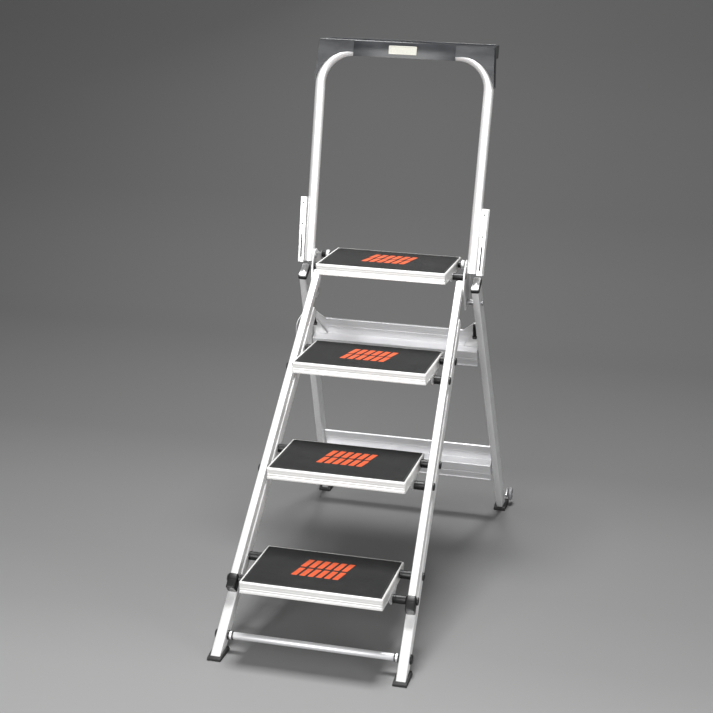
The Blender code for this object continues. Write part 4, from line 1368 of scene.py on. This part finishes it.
def make_handrail():
    """The hoop and, at each side, its channel with screws, slot and buttons, and its end plug."""
    points, y_at = hand_line()
    tube = sweep(points, HAND_R, 36)
    piece("hoop_tube", tube, SILVER_TUBE, "handrail", ("handrail_tube",), 50.0)
    for side_name, side in SIDES:
        name = "hand_channel_" + side_name
        piece("side_channel_" + side_name, eased_copy(name, 0.0008, 3), SILVER_RAIL, "handrail", (name,))
        low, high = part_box(name)

        # Screws through the channel's web and the tube
        head = facing(dome(0.0042, 0.0022), side)
        web = side_reach(name)[0]
        z0, z1 = low.z + 0.085, high.z - 0.020
        rise = z1 - z0
        first = (side * (web + 0.0052), y_at(z0), z0)
        screws = repeated(head, 2, first, (side * 0.0026, 0.165 * rise, rise), finish=ZINC)
        piece("channel_screws_" + side_name, screws, ZINC, "handrail")

        # A dark adjusting slot low on the channel's front, and two small buttons above it
        foot_line = Vector((side * 0.2618, low.y + 0.0180, 0.8760))
        head_line = Vector((side * 0.2652, foot_line.y + 0.0310, 1.0620))
        axes = beam_axes(foot_line, head_line - foot_line)
        face = -0.0181
        slot_levels = (
            (0.0140, 0.0030, 0.0008, 0.0002),
            (0.0160, 0.0044, 0.0012, 0.0003),
            (0.0800, 0.0044, 0.0012, 0.0003),
            (0.0820, 0.0030, 0.0008, 0.0002),
        )
        slot = stack(axes @ Matrix.Translation((0.0, face, 0.0)), slot_levels, steps=2)
        button = dome(0.0028, 0.0014, 16)
        button.transform(Matrix.Rotation(-math.pi / 2, 4, "Z"))
        step_up = (head_line - foot_line).normalized() * 0.0620
        buttons = repeated(button, 2, axes @ Vector((0.0, face, 0.1100)), step_up, finish=NYLON)
        piece("channel_slot_" + side_name, merged(slot, buttons), NYLON, "handrail")

        # Lower end plug of the tube
        foot, above = (points[0], points[1]) if side < 0 else (points[-1], points[-2])
        inward = (above - foot).normalized()
        stations = [foot - inward * 0.0016, foot - inward * 0.0010, foot + inward * 0.0010]
        plug = sweep(stations, (HAND_R - 0.0030, HAND_R - 0.0014, HAND_R - 0.0014), 32)
        piece("hoop_end_plug_" + side_name, plug, NYLON, "handrail")
    return y_at


def make_tray(y_at):
    """The tool tray on the hoop: shell, rims, cheeks, dividers, clips, hooks and a blank plate."""
    name = "tool_tray"
    piece("tray_shell", eased_copy(name, 0.0009, 3), SMOKE, "handrail", (name,), 34.0)
    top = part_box(name)[1].z
    front = y_at(top) + 0.0165
    back = y_at(top) + 0.0950

    # Rolled lips along the front and back rims
    lip = ((-0.2440, 0.0010), (-0.2430, 0.0018), (0.2430, 0.0018), (0.2440, 0.0010))
    rims = []
    for y, drop in ((front - 0.0170, 0.0018), (back - 0.0016, 0.0016)):
        rims.append(turned(Vector((0.0, y, top - drop)), lip, 16))
    piece("tray_rims", merged(*rims), SMOKE, "handrail")

    # Front cheeks cover the outer part of the tube's bends
    bend_x = 0.2450 - BEND_R
    bend_z = top - 0.0295 - BEND_R
    cheek_centre = Vector((0.215, 1.470))
    for side_name, side in SIDES:
        edge = 0.1508 if side < 0 else 0.1438
        outline = [(edge, top - 0.0006), (0.2538, top - 0.0006), (0.2606, 1.3945)]
        for step in range(15):
            share = step / 14
            angle = math.radians(6.0 + 84.0 * share)
            reach = BEND_R + HAND_R - 0.0004 - 0.0172 * share
            outline.append((bend_x + reach * math.cos(angle), bend_z + reach * math.sin(angle)))
        outline.append((edge, bend_z + BEND_R - 0.0030))
        rings = []
        for out, inset in ((-0.0163, 0.0005), (-0.0158, 0.0), (-0.0152, 0.0), (-0.0148, 0.0003)):
            ring = []
            for x, z in outline:
                away = (Vector((x, z)) - cheek_centre).normalized() * inset
                ring.append(Vector((side * (x - away.x), y_at(z) + out, z - away.y)))
            rings.append(ring)
        piece("tray_cheek_" + side_name, loft(rings), SMOKE, "handrail")

    # Divider ribs across the pan
    rib = upright(((0.0, 0.0022, 0.0720, 0.0006), (0.0260, 0.0016, 0.0720, 0.0005)))
    first = (-0.1950, (front + back) / 2 + 0.0010, top - 0.0330)
    ribs = repeated(rib, 6, first, (0.0780, 0.0, 0.0), finish=SMOKE)
    piece("tray_dividers", ribs, SMOKE, "handrail")

    # Small black clips on the front rim and a hook at each end
    clip_levels = (
        (-0.0045, 0.0150, 0.0062, 0.0012),
        (0.0, 0.0160, 0.0070, 0.0016),
        (0.0012, 0.0130, 0.0050, 0.0012),
    )
    first = (-0.1290, front - 0.0120, top - 0.0012)
    clips = repeated(upright(clip_levels, 2), 2, first, (0.0850, 0.0, 0.0), finish=NYLON)
    piece("tray_clips", clips, NYLON, "handrail")
    hook_line = ((0.0020, 0.0320), (0.0, 0.0230), (-0.0080, 0.0150), (-0.0150, 0.0080), (-0.0180, 0.0060))
    for side_name, side in SIDES:
        path = [Vector((side * 0.2380 + side * out, 0.0, top - drop)) for out, drop in hook_line]
        for point in path:
            point.y = y_at(point.z) - 0.0075
        piece("tray_hook_" + side_name, sweep(path, 0.0024, 14), NYLON, "handrail")

    # Blank plate: a raised border round a plain field
    plate = "name_plate"
    low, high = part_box(plate)
    lean = math.atan(HAND_LEAN)
    upright_turn = Matrix.Rotation(-lean, 4, "X") @ Matrix.Rotation(math.pi / 2, 4, "X")
    axes = Matrix.Translation(middle(plate)) @ upright_turn
    width = high.x - low.x
    depth = (high.z - low.z) / math.cos(lean) - 0.0003
    levels = (
        (-0.0004, width - 0.0004, depth - 0.0004, 0.0016),
        (0.0003, width, depth, 0.0018),
        (0.0005, width - 0.0008, depth - 0.0008, 0.0016),
        (0.0005, width - 0.0040, depth - 0.0040, 0.0010),
        (0.0002, width - 0.0046, depth - 0.0046, 0.0008),
    )
    piece("blank_plate_field", stack(axes, levels), BLANK, "handrail", (plate,))


# ---------------------------------------------------------------- wire catch
def make_wire_catch():
    """Two bowed spring wires on the left upper rail, outside it."""
    low = end_centre("rail_upper_left", -ALONG)
    high = end_centre("rail_upper_left", ALONG)
    ahead = (high - low).normalized()
    outwards = Vector((-1.0, 0.0, 0.0))
    start = low + ahead * 0.770
    steps = 12
    wires = []
    for shift in (0.0, 0.0050):
        path = []
        for step in range(steps + 1):
            share = step / steps
            bow = math.sin(math.pi * share)
            point = start + ahead * (0.086 * share)
            stand = UPPER_W / 2 + 0.0012 + 0.0095 * bow
            path.append(point + outwards * stand + BEHIND * (0.006 + shift - 0.004 * bow))
        wires.append(sweep(path, 0.0011, 12))
    piece("catch_wire_left", merged(*wires), ZINC, "front_frame")


# ---------------------------------------------------------------- studio
# Painted light falloff on the floor and backdrop: a grey that is lighter at the front and darker towards
# the back and up, set to how the lamps' light spreads there, as (share of the way, tone)
STUDIO_PAINTED_FALLOFF = (
    (0.0, 0.315),
    (0.12, 0.276),
    (0.148, 0.261),
    (0.191, 0.219),
    (0.242, 0.194),
    (0.304, 0.182),
    (0.382, 0.157),
    (0.4815, 0.168),
    (0.616, 0.182),
    (0.7125, 0.175),
    (0.80, 0.160),
    (0.92, 0.158),
    (1.0, 0.150),
)


def make_studio():
    """A floor that curves up into a backdrop behind the ladder."""
    half, front, bend, cove, height = 9.0, -9.0, 2.6, 2.4, 7.0
    outline = [(front, 0.0), (bend, 0.0)]
    for step in range(1, 17):
        angle = math.pi / 2 * step / 16
        outline.append((bend + cove * math.sin(angle), cove - cove * math.cos(angle)))
    outline.append((5.0, height))
    bm = bmesh.new()
    rows = [[bm.verts.new((x, y, z)) for y, z in outline] for x in (-half, half)]
    for step in range(len(outline) - 1):
        bm.faces.new((rows[0][step], rows[1][step], rows[1][step + 1], rows[0][step + 1]))
    mesh = bpy.data.meshes.new("studio_sweep")
    bm.to_mesh(mesh)
    bm.free()
    mesh.shade_smooth()
    backdrop = bpy.data.objects.new("studio_sweep", mesh)
    bpy.context.scene.collection.objects.link(backdrop)

    finish = Finish("studio_painted_falloff")
    # The ramp paints the light's falloff into the grey: lighter at the front, darker towards the back and
    # up
    parts = finish.node("ShaderNodeSeparateXYZ")
    finish.join(finish.place, parts.inputs["Vector"])
    climb = finish.sum(parts.outputs["Y"], parts.outputs["Z"])
    tone = finish.node("ShaderNodeValToRGB")
    finish.join(finish.span(climb, 0.0, 1.0, -2.0, 6.0), tone.inputs["Fac"])
    stops = tone.color_ramp.elements
    for stop, (position, value) in ((stops[0], STUDIO_PAINTED_FALLOFF[0]), (stops[1], STUDIO_PAINTED_FALLOFF[-1])):
        stop.position = position
        stop.color = (value, value, value, 1.0)
    for position, value in STUDIO_PAINTED_FALLOFF[1:-1]:
        stops.new(position).color = (value, value, value, 1.0)
    finish.feed("Base Color", tone.outputs["Color"])
    finish.fix("Roughness", 0.85)
    finish.fix("Specular IOR Level", 0.1)
    mesh.materials.append(finish.material)


def add_light(name, place, target, size, power):
    data = bpy.data.lights.new(name, "AREA")
    data.shape = "RECTANGLE"
    data.size, data.size_y = size
    data.energy = power
    obj = bpy.data.objects.new(name, data)
    bpy.context.scene.collection.objects.link(obj)
    obj.location = place
    obj.rotation_euler = (Vector(target) - Vector(place)).to_track_quat("-Z", "Y").to_euler()


def make_lights():
    add_light("overhead_softbox", (0.05, 0.05, 3.9), (0.0, 0.05, 0.3), (0.95, 0.95), 190.0)
    add_light("front_softbox", (-1.3, -6.4, 2.2), (-0.3, 0.0, 0.7), (3.2, 2.6), 330.0)
    add_light("right_fill", (3.8, -2.4, 1.2), (0.0, 0.2, 0.6), (1.4, 1.8), 60.0)
    add_light("back_fill", (-1.6, 4.3, 2.6), (0.0, 0.3, 0.8), (1.6, 1.2), 16.0)
    world = bpy.data.worlds.new("studio_air")
    world.use_nodes = True
    air = world.node_tree.nodes["Background"]
    air.inputs["Color"].default_value = (1.0, 1.0, 1.0, 1.0)
    air.inputs["Strength"].default_value = 0.14
    bpy.context.scene.world = world


def make_camera():
    data = bpy.data.cameras.new("camera")
    data.lens = 78.59
    data.sensor_width = 36.0
    obj = bpy.data.objects.new("camera", data)
    bpy.context.scene.collection.objects.link(obj)
    ahead = Vector((-0.2176, 0.9416, -0.2569)).normalized()
    right = Vector((0.9719, 0.2333, 0.0322))
    right = (right - ahead * right.dot(ahead)).normalized()
    up = right.cross(ahead)
    turn = Matrix((right, up, -ahead)).transposed().to_4x4()
    obj.matrix_world = Matrix.Translation((0.9040, -4.1653, 1.7790)) @ turn
    bpy.context.scene.camera = obj


# ---------------------------------------------------------------- making it all
make_camera()
make_studio()
make_lights()

for side_word, side_sign in SIDES:
    make_upper_rail(side_word)
    make_lower_rail(side_word)
    make_rear_leg(side_word, side_sign)
    make_wheel(side_word, side_sign)
    make_head(side_word, side_sign)
make_rung()
for tread_word in ("step_1", "step_2", "step_3", "platform"):
    make_tread(tread_word)
    make_rods(tread_word)
make_rear_bar("lower")
upper_bar = make_rear_bar("upper")
for side_word, side_sign in SIDES:
    make_gusset(side_word, side_sign, upper_bar)
make_tray(make_handrail())
make_wire_catch()

bpy.context.scene.view_settings.view_transform = "Standard"
